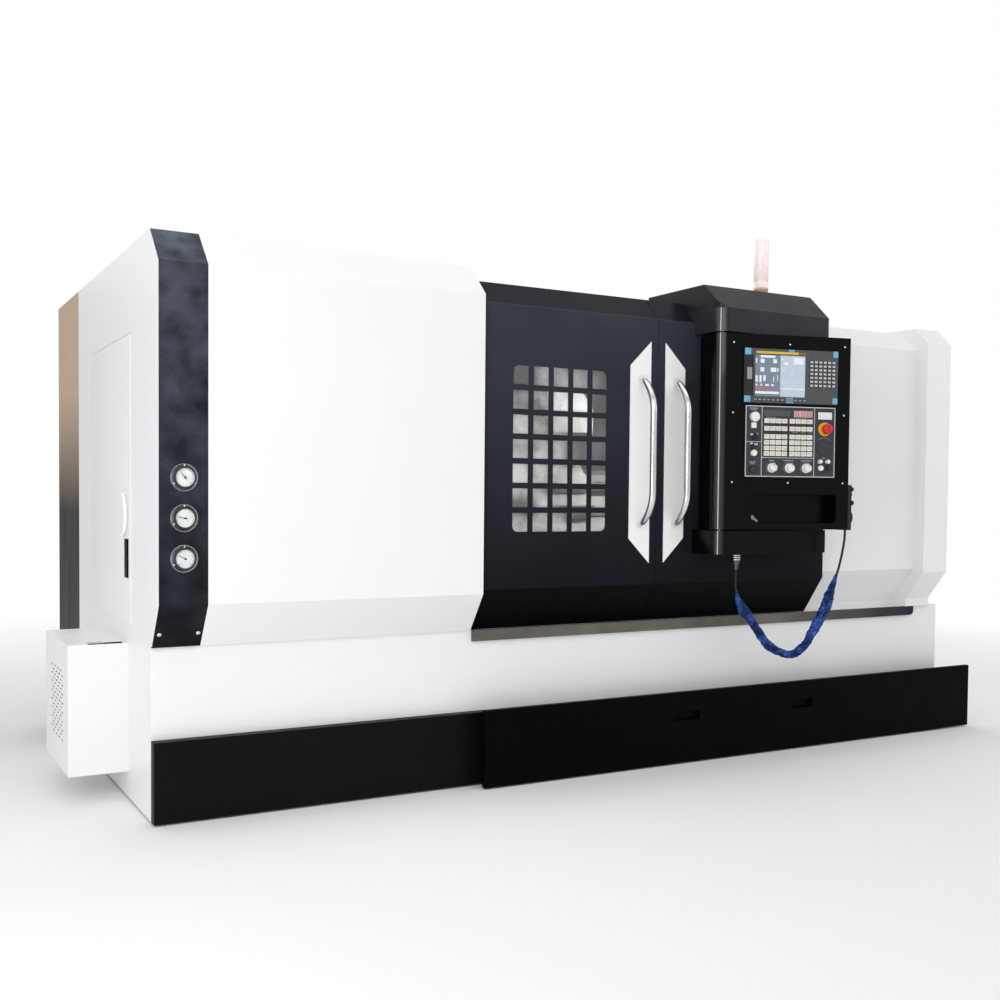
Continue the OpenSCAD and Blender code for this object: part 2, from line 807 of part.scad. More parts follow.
module headstock_cover() color(WHITE) placed() {
    along_x(col_w, cover_len) folded(cover_shell, sheet);
    // Top sheet behind the gauge column
    along_x(0, col_w) polygon([
        [cover_ridge, cover_top], [base_dep, cover_top], [base_dep, cover_top - sheet],
        inset_line(cover_shell, sheet)[len(cover_line) - 1],
    ]);
    // Wall of the step down to the lower roof
    translate([cover_len - sheet, ledge, roof_z - sheet])
        cube([sheet, base_dep - ledge - sheet, cover_top - roof_z]);
}

module gauge_column() color(SLATE) placed() difference() {
    along_x(0, col_w) polygon(concat(
        cover_line,
        reversed([for (i = [0:len(cover_line) - 1]) inset_line(cover_shell, sheet)[i]])
    ));
    for (i = [0:2]) translate([col_w / 2, -cover_out - 1, gauge_z + i * gauge_pitch])
        rotate([-90, 0, 0]) cylinder(h = sheet + 2, d = gauge_case_d + 1);
}

module pressure_gauges() color(STEEL) placed() for (i = [0:2])
    translate([col_w / 2, -cover_out, gauge_z + i * gauge_pitch]) rotate([90, 0, 0]) difference() {
        union() {
            cylinder(h = 4, d = gauge_d);
            cylinder(h = gauge_out, d = gauge_case_d + 8);
            translate([0, 0, -45]) cylinder(h = 46, d = gauge_case_d);
            translate([0, 0, -70]) cylinder(h = 30, d = 14);
        }
        translate([0, 0, gauge_out - 7]) cylinder(h = 8, d = gauge_case_d);
    }

module left_end_cover() color(WHITE) placed() difference() {
    along_x(0, sheet) polygon(concat(
        inset_line(cover_shell, sheet),
        [[base_dep, base_h], [lip, base_h]]
    ));
    translate([-1, side_back - side_w, side_z]) cube([sheet + 2, side_w, side_h]);
}

module side_door() color(WHITE) placed() {
    y0 = side_back - side_w + side_gap;
    z0 = side_z + side_gap;
    w = side_w - side_gap - run_gap;
    h = side_h - 2 * side_gap;
    difference() {
        translate([0, y0, z0]) cube([side_fold, w, h]);
        translate([sheet, y0 + sheet, z0 + sheet])
            cube([side_fold, w - 2 * sheet, h - 2 * sheet]);
    }
}

side_bow = 72;
side_pull_d = 12;
side_stand = 28;
side_pull_y = side_back - side_w + 141;
side_pull_z = side_z + 366;
side_arc = 150;

module side_door_handle() color(WHITE) placed() {
    // Curved pull that stands off the door on two posts
    translate([-side_stand, side_pull_y, side_pull_z]) rotate([90, 0, 90])
        rotate([0, 0, 180 - side_arc / 2]) rotate_extrude(angle = side_arc)
            translate([side_bow, 0]) circle(d = side_pull_d);
    for (turn = [180 - side_arc / 2, 180 + side_arc / 2])
        translate([-side_stand - side_pull_d / 2 - 2, side_pull_y, side_pull_z]) rotate([turn, 0, 0])
            translate([0, side_bow, 0]) rotate([0, 90, 0])
                cylinder(h = side_stand + side_pull_d / 2 + 2, d = side_pull_d + 3);
    // Lock plate under the pull
    translate([-4, side_pull_y - 90, side_pull_z - 210]) cube([4, 54, 130]);
}

vent_cols = 4;
vent_rows = 16;
vent_pitch = 64;
vent_step = 15.5;
vent_y = box_y + 100;
vent_z = box_z + 100;
leaf_x = 80;
leaf_w = 50;
leaf_dep = 46;

module vented_box() color(WHITE) placed() {
    difference() {
        translate([-box_w, box_y, box_z]) cube([box_w, box_dep, box_h]);
        translate([sheet - box_w, box_y + sheet, box_z + sheet])
            cube([box_w, box_dep - 2 * sheet, box_h - 2 * sheet]);
        for (i = [0:vent_cols - 1], j = [0:vent_rows - 1])
            translate([-box_w - 1, vent_y + (i + (j % 2) / 2) * vent_pitch, vent_z + j * vent_step])
                cube([sheet + 2, vent_w, vent_h]);
    }
    // Hinge leaves of the filling lid
    translate([-leaf_x - leaf_w, box_y, box_z + box_h]) cube([leaf_w, leaf_dep, 2]);
    translate([-leaf_x, box_y, box_z + box_h]) cube([leaf_w + 10, leaf_dep, 5]);
}

module roof_panel() color(WHITE) placed() {
    y0 = recess_line[4][0];
    translate([cover_len, y0 + sheet, roof_z - sheet])
        cube([right_x0 - cover_len, base_dep - sheet - y0 - sheet, sheet]);
    // Header that stiffens the roof's front edge
    translate([cover_len, ledge - header_w, roof_z - sheet - header_h]) difference() {
        cube([recess_x0 - cover_len, header_w, header_h]);
        translate([-1, sheet, sheet])
            cube([recess_x0 - cover_len + 2, header_w - 2 * sheet, header_h - 2 * sheet]);
    }
}

module rear_cover() color(WHITE) placed() {
    translate([sheet, base_dep - sheet, base_h])
        cube([right_x1 - 2 * sheet, sheet, roof_z - sheet - base_h]);
    translate([sheet, base_dep - sheet, roof_z - sheet])
        cube([cover_len - sheet, sheet, cover_top - roof_z]);
    translate([right_x0, base_dep - sheet, roof_z - sheet])
        cube([right_x1 - right_x0 - sheet, sheet, right_top - roof_z]);
    translate([cover_len, base_dep - sheet, roof_z - sheet])
        cube([right_x0 - cover_len, sheet, sheet]);
}

module recess_panel() color(WHITE) placed()
    along_x(recess_x0, right_x0) folded(recess_line, sheet);

module right_end_cover() color(WHITE) placed() {
    along_x(right_x0, right_x1) folded(right_line, sheet);
    // Wall of the column beside the recess
    along_x(right_x0, right_x0 + sheet) polygon(concat(
        [for (i = [0:len(right_line) - 2]) inset_line(right_line, sheet)[i]],
        [[base_dep - sheet, right_top - sheet], [base_dep - sheet, roof_z - sheet]],
        [[ledge, roof_z - sheet], [ledge, base_h]]
    ));
    // End wall
    along_x(right_x1 - sheet, right_x1) polygon(concat(
        inset_line(right_line, sheet), [[base_dep, base_h]]
    ));
}

sill_x0 = cover_len + 12;
sill_r = 20;

module sill_strip() color(STEEL) placed() forward(0, sill_t) difference() {
    translate([sill_x0, base_h - sill_h]) square([right_x1 - sill_end - sill_x0, sill_h]);
    translate([right_x1 - sill_end - sill_r, base_h - sill_h]) difference() {
        square(sill_r + 1);
        translate([0, sill_r]) circle(sill_r);
    }
}

module screw() {
    cylinder(h = screw_h, d = screw_d);
}

module cover_screws() color(STEEL) placed() {
    slope = cover_line[2] - cover_line[1];
    spot = cover_line[1] + 0.33 * slope;
    for (x = [15, col_w - 15]) translate([x, spot[0], spot[1]])
        rotate([90 + atan2(-slope[0], slope[1]), 0, 0]) screw();
    for (x = [60, (kick_len - tank_lap) / 2, kick_len - tank_lap - 40], z = [floor_gap + 30, kick_h - 14])
        translate([x, -kick_out, z]) rotate([90, 0, 0]) screw();
}

// A folded door tray, open at its back, between two places along x
module door_tray(x0, x1) difference() {
    along_x(x0, x1) folded(door_line, door_t);
    along_x(x0 + sheet, x1 - sheet) folded(inset_line(trimmed(door_line, sheet), sheet), door_t);
}

win_x = door_split - win_in - win_w;
cell_w = (win_w - (win_cols - 1) * win_bar) / win_cols;
cell_h = (win_h - (win_rows - 1) * win_bar) / win_rows;

module window_grid() intersection() {
    translate([win_x, win_z]) round_rect(win_w, win_h, win_r);
    for (i = [0:win_cols - 1], j = [0:win_rows - 1])
        translate([win_x + i * (cell_w + win_bar), win_z + j * (cell_h + win_bar)])
            square([cell_w, cell_h]);
}

module left_door_panel() color(SLATE) placed() difference() {
    door_tray(left_door_x0, left_door_x1);
    forward(door_y + sheet + 1, sheet + 2) window_grid();
}

module window_pane() color([0.75, 0.8, 0.82, 0.4]) placed()
    translate([win_x - pane_lap, door_y + sheet, win_z - pane_lap])
        cube([win_w + 2 * pane_lap, pane_t, win_h + 2 * pane_lap]);

module right_door_panel() color(SLATE) placed() door_tray(right_door_x0, right_door_x1);

// Handle plate beside the parting line, its long edge towards the line
module handle_plate(side) forward(door_y, plate_t) translate([door_split, 0]) mirror([side, 0])
    polygon([
        [-plate_in, plate_low], [-plate_in, plate_high],
        [-plate_in - plate_w, plate_high - plate_cut], [-plate_in - plate_w, plate_low + plate_cut],
    ]);

bow_in = plate_in + plate_w / 2;
bow_rise = sqrt(pow(bow_r, 2) - pow(bow_r - bow_out, 2));
bow_turn = acos((bow_r - bow_out) / (bow_r + bow_d / 2));
bow_half = (bow_high - bow_low) / 2 - bow_rise;

// Lower half of a door handle: its straight part and the bend that runs into the plate
module bow_leg() {
    translate([0, -bow_out, -bow_half]) cylinder(h = bow_half, d = bow_d);
    difference() {
        translate([0, bow_r - bow_out, -bow_half]) rotate([90, 0, 90]) rotate([0, 0, 180])
            rotate_extrude(angle = bow_turn) translate([bow_r, 0]) circle(d = bow_d);
        translate([-bow_d, 0, -bow_half - bow_r - bow_d]) cube([2 * bow_d, bow_d, bow_r + bow_d]);
    }
}

module bow_handle(x) translate([x, door_y - plate_t, (bow_low + bow_high) / 2])
    for (side = [0, 1]) mirror([0, 0, side]) bow_leg();

module left_handle_plate() color(WHITE) placed() handle_plate(0);
module right_handle_plate() color(WHITE) placed() handle_plate(1);
module left_handle() color(STEEL) placed() bow_handle(door_split - bow_in);
module right_handle() color(STEEL) placed() bow_handle(door_split + bow_in);

module pivot_socket(z, up) {
    translate([pivot_x, pivot_y, up ? z - 1 : z - pivot_len - pend_gap])
        cylinder(h = pivot_len + pend_gap + 1, d = pivot_d + 2 * run_gap);
}

module pod_hood() color(SLATE) placed() difference() {
    intersection() {
        along_x(pod_x, pod_x + pod_w) polygon([
            [door_y, hood_low], [pod_y, hood_low], [pod_y, hood_fold],
            [pod_y + 1.08 * (hood_top - hood_fold), hood_top], [hood_back, hood_top],
            [hood_back, door_top + hood_lift], [door_ridge + hood_lift, door_top + hood_lift],
            [door_ridge, door_top], [door_y, door_fold_top],
        ]);
        linear_extrude(hood_top + 1) pod_plan(pod_x, pod_x + pod_w, pod_y, hood_back, pod_r);
    }
    pivot_socket(hood_low, true);
}

module pod_foot() color(BLACK) placed() difference() {
    translate([0, 0, foot_low]) linear_extrude(foot_top - foot_low)
        pod_plan(pod_x, pod_x + pod_w, pod_y, door_y, pod_r);
    pivot_socket(foot_top, false);
}

module signal_light() color([0.95, 0.75, 0.72]) placed()
    translate([pod_x + light_x, -light_out, hood_top]) {
        cylinder(h = 14, d = light_d + 8);
        cylinder(h = light_h, d = light_d);
    }

module cord_connector() color(STEEL) placed() translate([connector[0], connector[1], foot_low]) {
    translate([0, 0, -14]) cylinder(h = 14, d = connector_d + 6, $fn = 6);
    translate([0, 0, -40]) cylinder(h = 40, d = connector_d);
    translate([0, 0, -connector_h]) cylinder(h = connector_h, d = connector_d - 10);
}

module panel_plan() {
    translate([0, -pod_r]) square([pend_w, pend_dep]);
    translate([-pod_r, 0]) square([pod_r + 1, pend_back]);
    circle(pod_r);
}

module panel_case() color(SLATE) placed() at_panel() difference() {
    union() {
        translate([0, 0, pend_low]) linear_extrude(pend_high - pend_low) panel_plan();
        translate([0, 0, pend_low - pend_gap - pivot_len + 2])
            cylinder(h = pend_high - pend_low + 2 * (pend_gap + pivot_len) - 4, d = pivot_d);
    }
    translate([pocket_x, 0, pocket_z]) forward(pocket_dep - pod_r, pocket_dep + 1)
        round_rect(pocket_w, pocket_h, 14);
    translate([stop_x, 0, stop_z]) panel_hole(stop_stem_d, knob_deep);
    for (x = [feed_x, rapid_x, speed_x]) translate([x, 0, knob_z]) panel_hole(knob_pin_d, knob_deep);
}

// A round hole from the panel's outer face into the case
module panel_hole(d, deep) {
    translate([0, -pod_r - panel_t - stop_ring_h - 1, 0]) rotate([-90, 0, 0])
        cylinder(h = panel_t + stop_ring_h + 1 + deep, d = d + 2 * knob_gap);
}

key_cols = 6;
key_rows = 7;
soft_keys = 12;
lcd_x = 46;
lcd_z = screen_h - 23 - lcd_h;
keypad_x = screen_w - 128;

module screen_unit() color(BLACK) placed() at_panel() translate([screen_x, -pod_r, screen_z]) {
    difference() {
        forward(0, screen_t) round_rect(screen_w, screen_h, 4);
        translate([lcd_x, -screen_t - 1, lcd_z]) cube([lcd_w, 3, lcd_h]);
        translate([6, -screen_t - 1, lcd_z + 24]) cube([32, 4, 116]);
    }
    for (i = [0:soft_keys - 1]) translate([lcd_x - 8 + i * 19, -screen_t - 2, 8]) cube([15, 2, 9]);
    for (i = [0:key_cols - 1], j = [0:key_rows - 1])
        translate([keypad_x + 6 + i * 19, -screen_t - 2, 66 + j * 15]) cube([15, 2, 11]);
    // Card door beside the display
    translate([12, -screen_t, lcd_z + 60]) cube([20, screen_t - 4, 44]);
}

row_heights = [82, 103, 125, 147, 178, 207];

module operator_panel() color(SLATE) placed() at_panel() {
    difference() {
        union() {
            translate([panel_x, -pod_r, panel_z]) {
                forward(0, panel_t) round_rect(panel_w, panel_h, 3);
                translate([0, -panel_t, 0]) panel_fittings();
            }
            translate([stop_x, -pod_r - panel_t, stop_z]) rotate([90, 0, 0])
                cylinder(h = stop_ring_h, d = stop_ring_d);
        }
        translate([stop_x, 0, stop_z]) panel_hole(stop_stem_d, 0);
        for (x = [feed_x, rapid_x, speed_x]) translate([x, 0, knob_z]) panel_hole(knob_pin_d, 0);
    }
}

// Keys, displays and small switches that stand on the operator panel
module panel_fittings() {
    for (group = [77, 184], i = [0:3], z = row_heights)
        translate([group + i * 25, -4, z]) cube([22, 4, 15]);
    translate([204, -2, 231]) cube([78, 2, 24]);
    translate([308, -2, 225]) cube([58, 2, 27]);
    for (s = [[36, 228, 36, 14], [36, 91, 24, 8], [34, 29, 30, 6], [337, 118, 62, 3],
            [317, 62, 16, 12], [350, 62, 16, 12], [321, 37, 20, 8], [356, 39, 20, 8]])
        translate([s[0], 0, s[1]]) rotate([90, 0, 0]) cylinder(h = s[3], d = s[2]);
    translate([24, -6, 186]) cube([20, 6, 20]);
    translate([28, -10, 140]) cube([22, 10, 16]);
    translate([25, -6, 106]) cube([16, 6, 10]);
}

// A knob with a pointer rib, its spindle in the panel
module knob(x) at_panel() translate([x, -pod_r - panel_t, knob_z]) rotate([90, 0, 0]) {
    translate([0, 0, -panel_t - knob_deep + run_gap])
        cylinder(h = panel_t + knob_deep + 1, d = knob_pin_d);
    translate([0, 0, run_gap]) cylinder(h = 4, d = knob_d);
    translate([0, 0, run_gap]) cylinder(h = knob_h, d = knob_d - 10);
    translate([-3, 0, run_gap]) cube([6, knob_d / 2 - 1, knob_h]);
}

module feed_knob() color(WHITE) placed() knob(feed_x);
module rapid_knob() color(WHITE) placed() knob(rapid_x);
module speed_knob() color(WHITE) placed() knob(speed_x);

module stop_button() color([0.8, 0.06, 0.05]) placed() at_panel()
    translate([stop_x, -pod_r - panel_t - stop_ring_h, stop_z]) rotate([90, 0, 0]) {
        translate([0, 0, 2 - panel_t - stop_ring_h])
            cylinder(h = panel_t + stop_ring_h + stop_lift, d = stop_stem_d);
        translate([0, 0, stop_lift]) cylinder(h = stop_head_h, d = stop_d);
    }

module handwheel_unit() color(BLACK) placed() at_panel() {
    translate([pend_w, wheel_box_y, wheel_box_z])
        cube([wheel_box_w - wheel_len, wheel_box_dep, wheel_box_h]);
    // Two small selectors over the wheel
    for (y = [18, 47]) translate([pend_w, wheel_box_y + y, wheel_box_z + wheel_box_h - 37]) rotate([0, 90, 0])
        cylinder(h = wheel_box_w - 4, d = 18);
}

module handwheel() color([0.2, 0.2, 0.21]) placed() at_panel()
    translate([pend_w + wheel_box_w - wheel_len + run_gap, wheel_box_y + wheel_box_dep / 2, wheel_box_z + 50])
        rotate([0, 90, 0]) {
            cylinder(h = wheel_len, d = wheel_d);
            translate([wheel_d / 2 - 10, 0, wheel_len - 1]) cylinder(h = 6, d = 8);
        }

// A tube swept along points, with its own diameter at each of them
function ring_frame(pts, i) =
    let (a = pts[max(i - 1, 0)], b = pts[min(i + 1, len(pts) - 1)], t = unit(b - a),
        side = unit(cross(t, [0.3, 1, 0])))
        [side, cross(side, t)];
module swept_tube(pts, sizes, sides = 10) {
    rings = [
        for (i = [0:len(pts) - 1], k = [0:sides - 1])
            let (f = ring_frame(pts, i), a = 360 * k / sides)
                pts[i] + sizes[i] / 2 * (cos(a) * f[0] + sin(a) * f[1])
    ];
    last = (len(pts) - 1) * sides;
    walls = [
        for (i = [0:len(pts) - 2], k = [0:sides - 1])
            let (n = (k + 1) % sides)
                [i * sides + k, i * sides + n, (i + 1) * sides + n, (i + 1) * sides + k]
    ];
    ends = [[for (k = [sides - 1:-1:0]) k], [for (k = [0:sides - 1]) last + k]];
    polyhedron(rings, concat(walls, ends));
}
function even(pts, d) = [for (p = pts) d];
// Place of a point of the swivel panel's frame in the machine's frame
function panel_point(s, t, z) = [
    pivot_x + s * cos(swing) + t * sin(swing), pivot_y - s * sin(swing) + t * cos(swing), z,
];

module handwheel_cord() color(BLACK) placed() {
    swept_tube(cord_start, even(cord_start, cord_d));
    to_unit = concat(cord_finish, [panel_point(cord_s, cord_t, wheel_box_z - 2 * run_gap)]);
    swept_tube(to_unit, even(to_unit, cord_d));
}

module cord_sleeve() color([0.1, 0.2, 0.6]) placed()
    swept_tube(sleeve_route, sleeve_d * sleeve_sizes);

tank_x0 = kick_len + 22;
tank_x1 = base_len - 30;

module coolant_tank() color(BLACK) placed() {
    plate_x = kick_len - tank_lap;
    plate_len = base_len + tank_over - plate_x;
    back = tank_front_t - tank_out;
    difference() {
        translate([plate_x, -tank_out, floor_gap])
            cube([plate_len, tank_front_t, tank_front_h - floor_gap]);
        translate([plate_x + sheet, sheet - tank_out, floor_gap + sheet])
            cube([plate_len - 2 * sheet, tank_front_t, tank_front_h - floor_gap - 2 * sheet]);
        for (i = [0, 1]) translate([slot_x + i * slot_pitch - slot_w / 2, 0, slot_z - slot_h / 2])
            forward(sheet + 1 - tank_out, sheet + 2) round_rect(slot_w, slot_h, 4);
    }
    difference() {
        translate([tank_x0, sheet - tank_out, runner_h])
            cube([tank_x1 - tank_x0, back + tank_out - sheet + tank_dep, tank_h - runner_h]);
        translate([tank_x0 + sheet, back, runner_h + sheet])
            cube([tank_x1 - tank_x0 - 2 * sheet, tank_dep - sheet, tank_h]);
        translate([tank_x0 + sheet, sheet - tank_out - 1, floor_gap + sheet])
            cube([tank_x1 - tank_x0 - 2 * sheet, tank_front_t - 2 * sheet + 1, tank_h]);
    }
    for (x = [tank_x0 + 200, (tank_x0 + tank_x1) / 2, tank_x1 - 240])
        translate([x, back, 0]) cube([40, tank_dep - 40, runner_h]);
}

module saddle() color(IRON) placed() on_bed() difference() {
    union() {
        translate([saddle_x, saddle_rails[0] - block_w / 2, 4]) cube([saddle_len, block_w, rail_h]);
        translate([saddle_x, saddle_rails[1] - block_w / 2, 4]) cube([saddle_len, block_w, rail_h]);
        translate([saddle_x, saddle_rails[0] - block_w / 2, rail_h])
            cube([saddle_len, saddle_rails[1] - saddle_rails[0] + block_w + 60, saddle_t]);
        translate([saddle_x + 40, feed_u - block_w / 2, 8])
            cube([saddle_len - 80, block_w, rail_h]);
        // Motor of the cross slide
        translate([saddle_x + 90, saddle_rails[1] + block_w / 2 + 60, rail_h])
            cube([120, 150, 110]);
    }
    for (u = saddle_rails) translate([saddle_x - 1, u - rail_w / 2 - run_gap, 0])
        cube([saddle_len + 2, rail_w + 2 * run_gap, rail_h + run_gap]);
    round_bar(saddle_x - 1, saddle_x + saddle_len + 1, feed_u, feed_v, feed_d + 2 * run_gap);
}

module cross_slide() color(IRON) placed() on_bed() {
    translate([saddle_x + 20, 100, saddle_top + run_gap]) cube([saddle_len - 40, 260, cross_t]);
    // Tower that carries the turret
    difference() {
        along_x(tower_x, saddle_x + saddle_len - 60) polygon([
            [turret_u - 130, cross_top - 1], [turret_u - 130, ctr_h + 60], [turret_u - 60, ctr_h + 130],
            [turret_u + 60, ctr_h + 130], [turret_u + 130, ctr_h + 60], [turret_u + 130, 200],
            [turret_u + 20, cross_top - 1],
        ]);
        round_bar(tower_x - 1, tower_x + 61, turret_u, ctr_h, 90 + 2 * run_gap);
    }
}

module turret() color(STEEL) placed() on_bed() translate([0, turret_u, ctr_h]) {
    translate([turret_x, 0, 0]) rotate([0, 90, 0]) rotate([0, 0, 180 / stations])
        cylinder(h = turret_t, d = turret_d, $fn = stations);
    round_bar(turret_x + turret_t - 1, tower_x + 60, 0, 0, 90);
    for (i = [0:stations - 1]) rotate([i * 360 / stations, 0, 0])
        translate([turret_x + 15, -26, turret_d / 2 - 20]) {
            cube([turret_t - 30, 52, 20 + holder_out]);
            if (i % 2 == 0) translate([-40, 13, 20]) cube([60, 26, 24]);
        }
}

module tailstock() color(IRON) placed() on_bed() difference() {
    along_x(tail_x, tail_x + tail_len) polygon([
        [-255, 4], [-255, 80], [-110, ctr_h - 40], [-80, ctr_h + 70], [-40, ctr_h + 100],
        [50, ctr_h + 100], [90, ctr_h + 60], [90, ctr_h - 70], [-35, 80], [-35, 4],
    ]);
    for (u = tail_rails) translate([tail_x - 1, u - rail_w / 2 - run_gap, 0])
        cube([tail_len + 2, rail_w + 2 * run_gap, rail_h + run_gap]);
    round_bar(tail_x - 1, tail_x + tail_len - 20, 0, ctr_h, quill_d + 2 * run_gap);
}

module quill() color(STEEL) placed() on_bed() translate([0, 0, ctr_h]) {
    round_bar(tail_x - quill_out, tail_x + tail_len - 80, 0, 0, quill_d);
    translate([tail_x - quill_out + 1, 0, 0]) rotate([0, -90, 0])
        cylinder(h = centre_len + 1, d1 = 52, d2 = 3);
}

base_apron();
left_kick_plate();
levelling_feet();
bed_casting();
guide_rails();
headstock();
spindle_motor();
drive_belt();
feed_motor();
feed_screw();
splash_guard();
electrical_cabinet();
cabinet_door();
headstock_cover();
gauge_column();
pressure_gauges();
left_end_cover();
roof_panel();
rear_cover();
recess_panel();
right_end_cover();
sill_strip();
vented_box();
cover_screws();
left_door_panel();
window_pane();
left_handle_plate();
left_handle();
right_door_panel();
right_handle_plate();
right_handle();
pod_hood();
pod_foot();
signal_light();
cord_connector();
panel_case();
screen_unit();
operator_panel();
handwheel_unit();
handwheel();
stop_button();
feed_knob();
rapid_knob();
speed_knob();
handwheel_cord();
cord_sleeve();
side_door();
side_door_handle();
coolant_tank();
spindle();
chuck();
jaw_1();
jaw_2();
jaw_3();
motor_pulley();
saddle();
cross_slide();
turret();
tailstock();
quill();
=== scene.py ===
"""Looks of an enclosed slant-bed turning lathe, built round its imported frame."""
import json
import math

import bmesh
import bpy
from mathutils import Matrix, Vector, noise


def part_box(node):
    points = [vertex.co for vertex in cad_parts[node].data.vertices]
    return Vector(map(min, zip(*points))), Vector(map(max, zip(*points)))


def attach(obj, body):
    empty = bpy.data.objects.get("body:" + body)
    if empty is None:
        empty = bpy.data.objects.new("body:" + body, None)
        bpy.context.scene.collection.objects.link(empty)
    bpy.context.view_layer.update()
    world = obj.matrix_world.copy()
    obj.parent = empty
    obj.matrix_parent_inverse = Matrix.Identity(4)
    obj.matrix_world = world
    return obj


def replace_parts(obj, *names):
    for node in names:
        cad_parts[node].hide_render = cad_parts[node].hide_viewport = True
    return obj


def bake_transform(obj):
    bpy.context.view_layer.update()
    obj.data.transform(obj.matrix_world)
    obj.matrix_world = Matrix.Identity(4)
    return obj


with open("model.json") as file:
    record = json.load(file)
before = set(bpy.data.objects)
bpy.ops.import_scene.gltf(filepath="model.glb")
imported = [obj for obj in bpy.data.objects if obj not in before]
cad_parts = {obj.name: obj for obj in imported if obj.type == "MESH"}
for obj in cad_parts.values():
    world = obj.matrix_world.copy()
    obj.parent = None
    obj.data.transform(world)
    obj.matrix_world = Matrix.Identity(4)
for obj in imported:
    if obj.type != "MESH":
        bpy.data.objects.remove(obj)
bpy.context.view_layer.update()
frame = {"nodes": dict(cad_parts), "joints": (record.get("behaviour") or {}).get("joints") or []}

bl_info = {
    "name": "Turning lathe looks",
    "version": (1, 0, 0),
    "blender": (4, 5, 0),
    "location": "View3D > Sidebar > Lathe",
    "description": "Finishes, panel controls, gauges, cord and stage of a turning lathe",
    "category": "Object",
}

MM = 0.001
NODES = frame["nodes"]
JOINTS = {joint["name"]: joint for joint in frame["joints"]}

# The machine's own corner: left end, front plane and floor of the lower housing
CORNER = Vector((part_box("base_apron")[0].x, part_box("base_apron")[0].y, 0.0))
# The swivel panel's frame: its pivot, turned by the way in which its stop button is pressed
PIVOT = Vector(JOINTS["panel_swivel"]["pos_m"])
PRESS = JOINTS["stop_press"]["axis"]
SWING = math.atan2(PRESS[0], PRESS[1])
PANEL = Matrix.Translation((PIVOT.x, PIVOT.y, 0.0)) @ Matrix.Rotation(-SWING, 4, "Z")
# Turn a piece drawn upright on the floor so that its top faces the viewer, or the right
TO_FRONT = Matrix.Rotation(math.radians(90), 4, "X")
TO_RIGHT = Matrix.Rotation(math.radians(90), 4, "Y")
# Heights in metres at which folded sheets change their slope, and past which the paint takes another tone:
# painted shade or painted light of the slope
DOOR_FOLD = 1.7135
DOOR_SKIRT = 0.708
HOOD_FOLD = 1.7575
COLUMN_FOLD = 1.7385
# Edges of a mesh that turn by more than this stay sharp
SHARP_ANGLE = math.radians(35)
FILM_SHARP_ANGLE = math.radians(50)


def at(x, y, z):
    """A point of the machine, in millimetres from its corner, in the frame's metres."""
    return CORNER + Vector((x, y, z)) * MM


def on_panel(s, depth, z):
    """A matrix on the swivel panel: s along its face, depth towards its back, z up."""
    return PANEL @ Matrix.Translation(Vector((s, depth, z)) * MM)


def facing(s, depth, z):
    """A matrix on the panel whose z axis points to the viewer and whose y axis is up."""
    return on_panel(s, depth, z) @ TO_FRONT


def spun(degrees):
    """A turn about a form's own z axis."""
    return Matrix.Rotation(math.radians(degrees), 4, "Z")


# ------------------------------------------------------------------ properties


def color_choice(name, description, default):
    """A colour that a user may change."""
    return bpy.props.FloatVectorProperty(
        name=name, description=description, subtype="COLOR", size=3, default=default)


def width_choice(name, description, default):
    """A small width that a user may change."""
    return bpy.props.FloatProperty(
        name=name, description=description, default=default, min=4 * MM, max=20 * MM, unit="LENGTH")


class LatheFinishes(bpy.types.PropertyGroup):
    """Colours of the sheet metal and of the fittings."""

    white: color_choice("White paint", "Colour of the light sheet metal", (0.88, 0.885, 0.89))
    recess: color_choice("Recess paint", "Colour of the panel right of the doors", (0.87, 0.875, 0.87))
    charcoal: color_choice("Door paint", "Colour of the sliding doors", (0.021, 0.0225, 0.031))
    pod: color_choice("Pod paint", "Colour of the swivel panel's case and of the pod's foot",
                      (0.0012, 0.0012, 0.0016))
    hood: color_choice("Hood paint", "Colour of the hood over the swivel panel", (0.022, 0.0235, 0.0285))
    slate: color_choice("Column paint", "Colour of the gauge column", (0.027, 0.031, 0.041))
    black: color_choice("Kick plate paint", "Colour of the plate near the floor", (0.0022, 0.0022, 0.0024))
    film: color_choice("Cord film", "Colour of the film round the handwheel's cord", (0.004, 0.036, 0.23))
    key: color_choice("Keys", "Colour of the operator panel's keys", (0.8, 0.78, 0.7))


class LatheSizes(bpy.types.PropertyGroup):
    """Sizes of the pieces that the looks add."""

    cord_width: width_choice("Cord", "Diameter of the handwheel's cord", 9 * MM)
    screw_width: width_choice("Panel screws", "Diameter of the screws of the swivel panel", 9 * MM)
    dial_marks: bpy.props.IntProperty(
        name="Dial marks", description="Marks round a gauge's dial", default=41, min=11, max=81)


# ------------------------------------------------------------------ node sketches


def tone(color):
    """A colour with its alpha."""
    return (*color, 1.0) if len(color) == 3 else tuple(color)


def socket_kind(value):
    """The kind of socket for a default, or the kind that stands in its place."""
    if isinstance(value, str):
        return value
    return {1: "Float", 3: "Vector", 4: "Color"}[len(value) if isinstance(value, tuple) else 1]


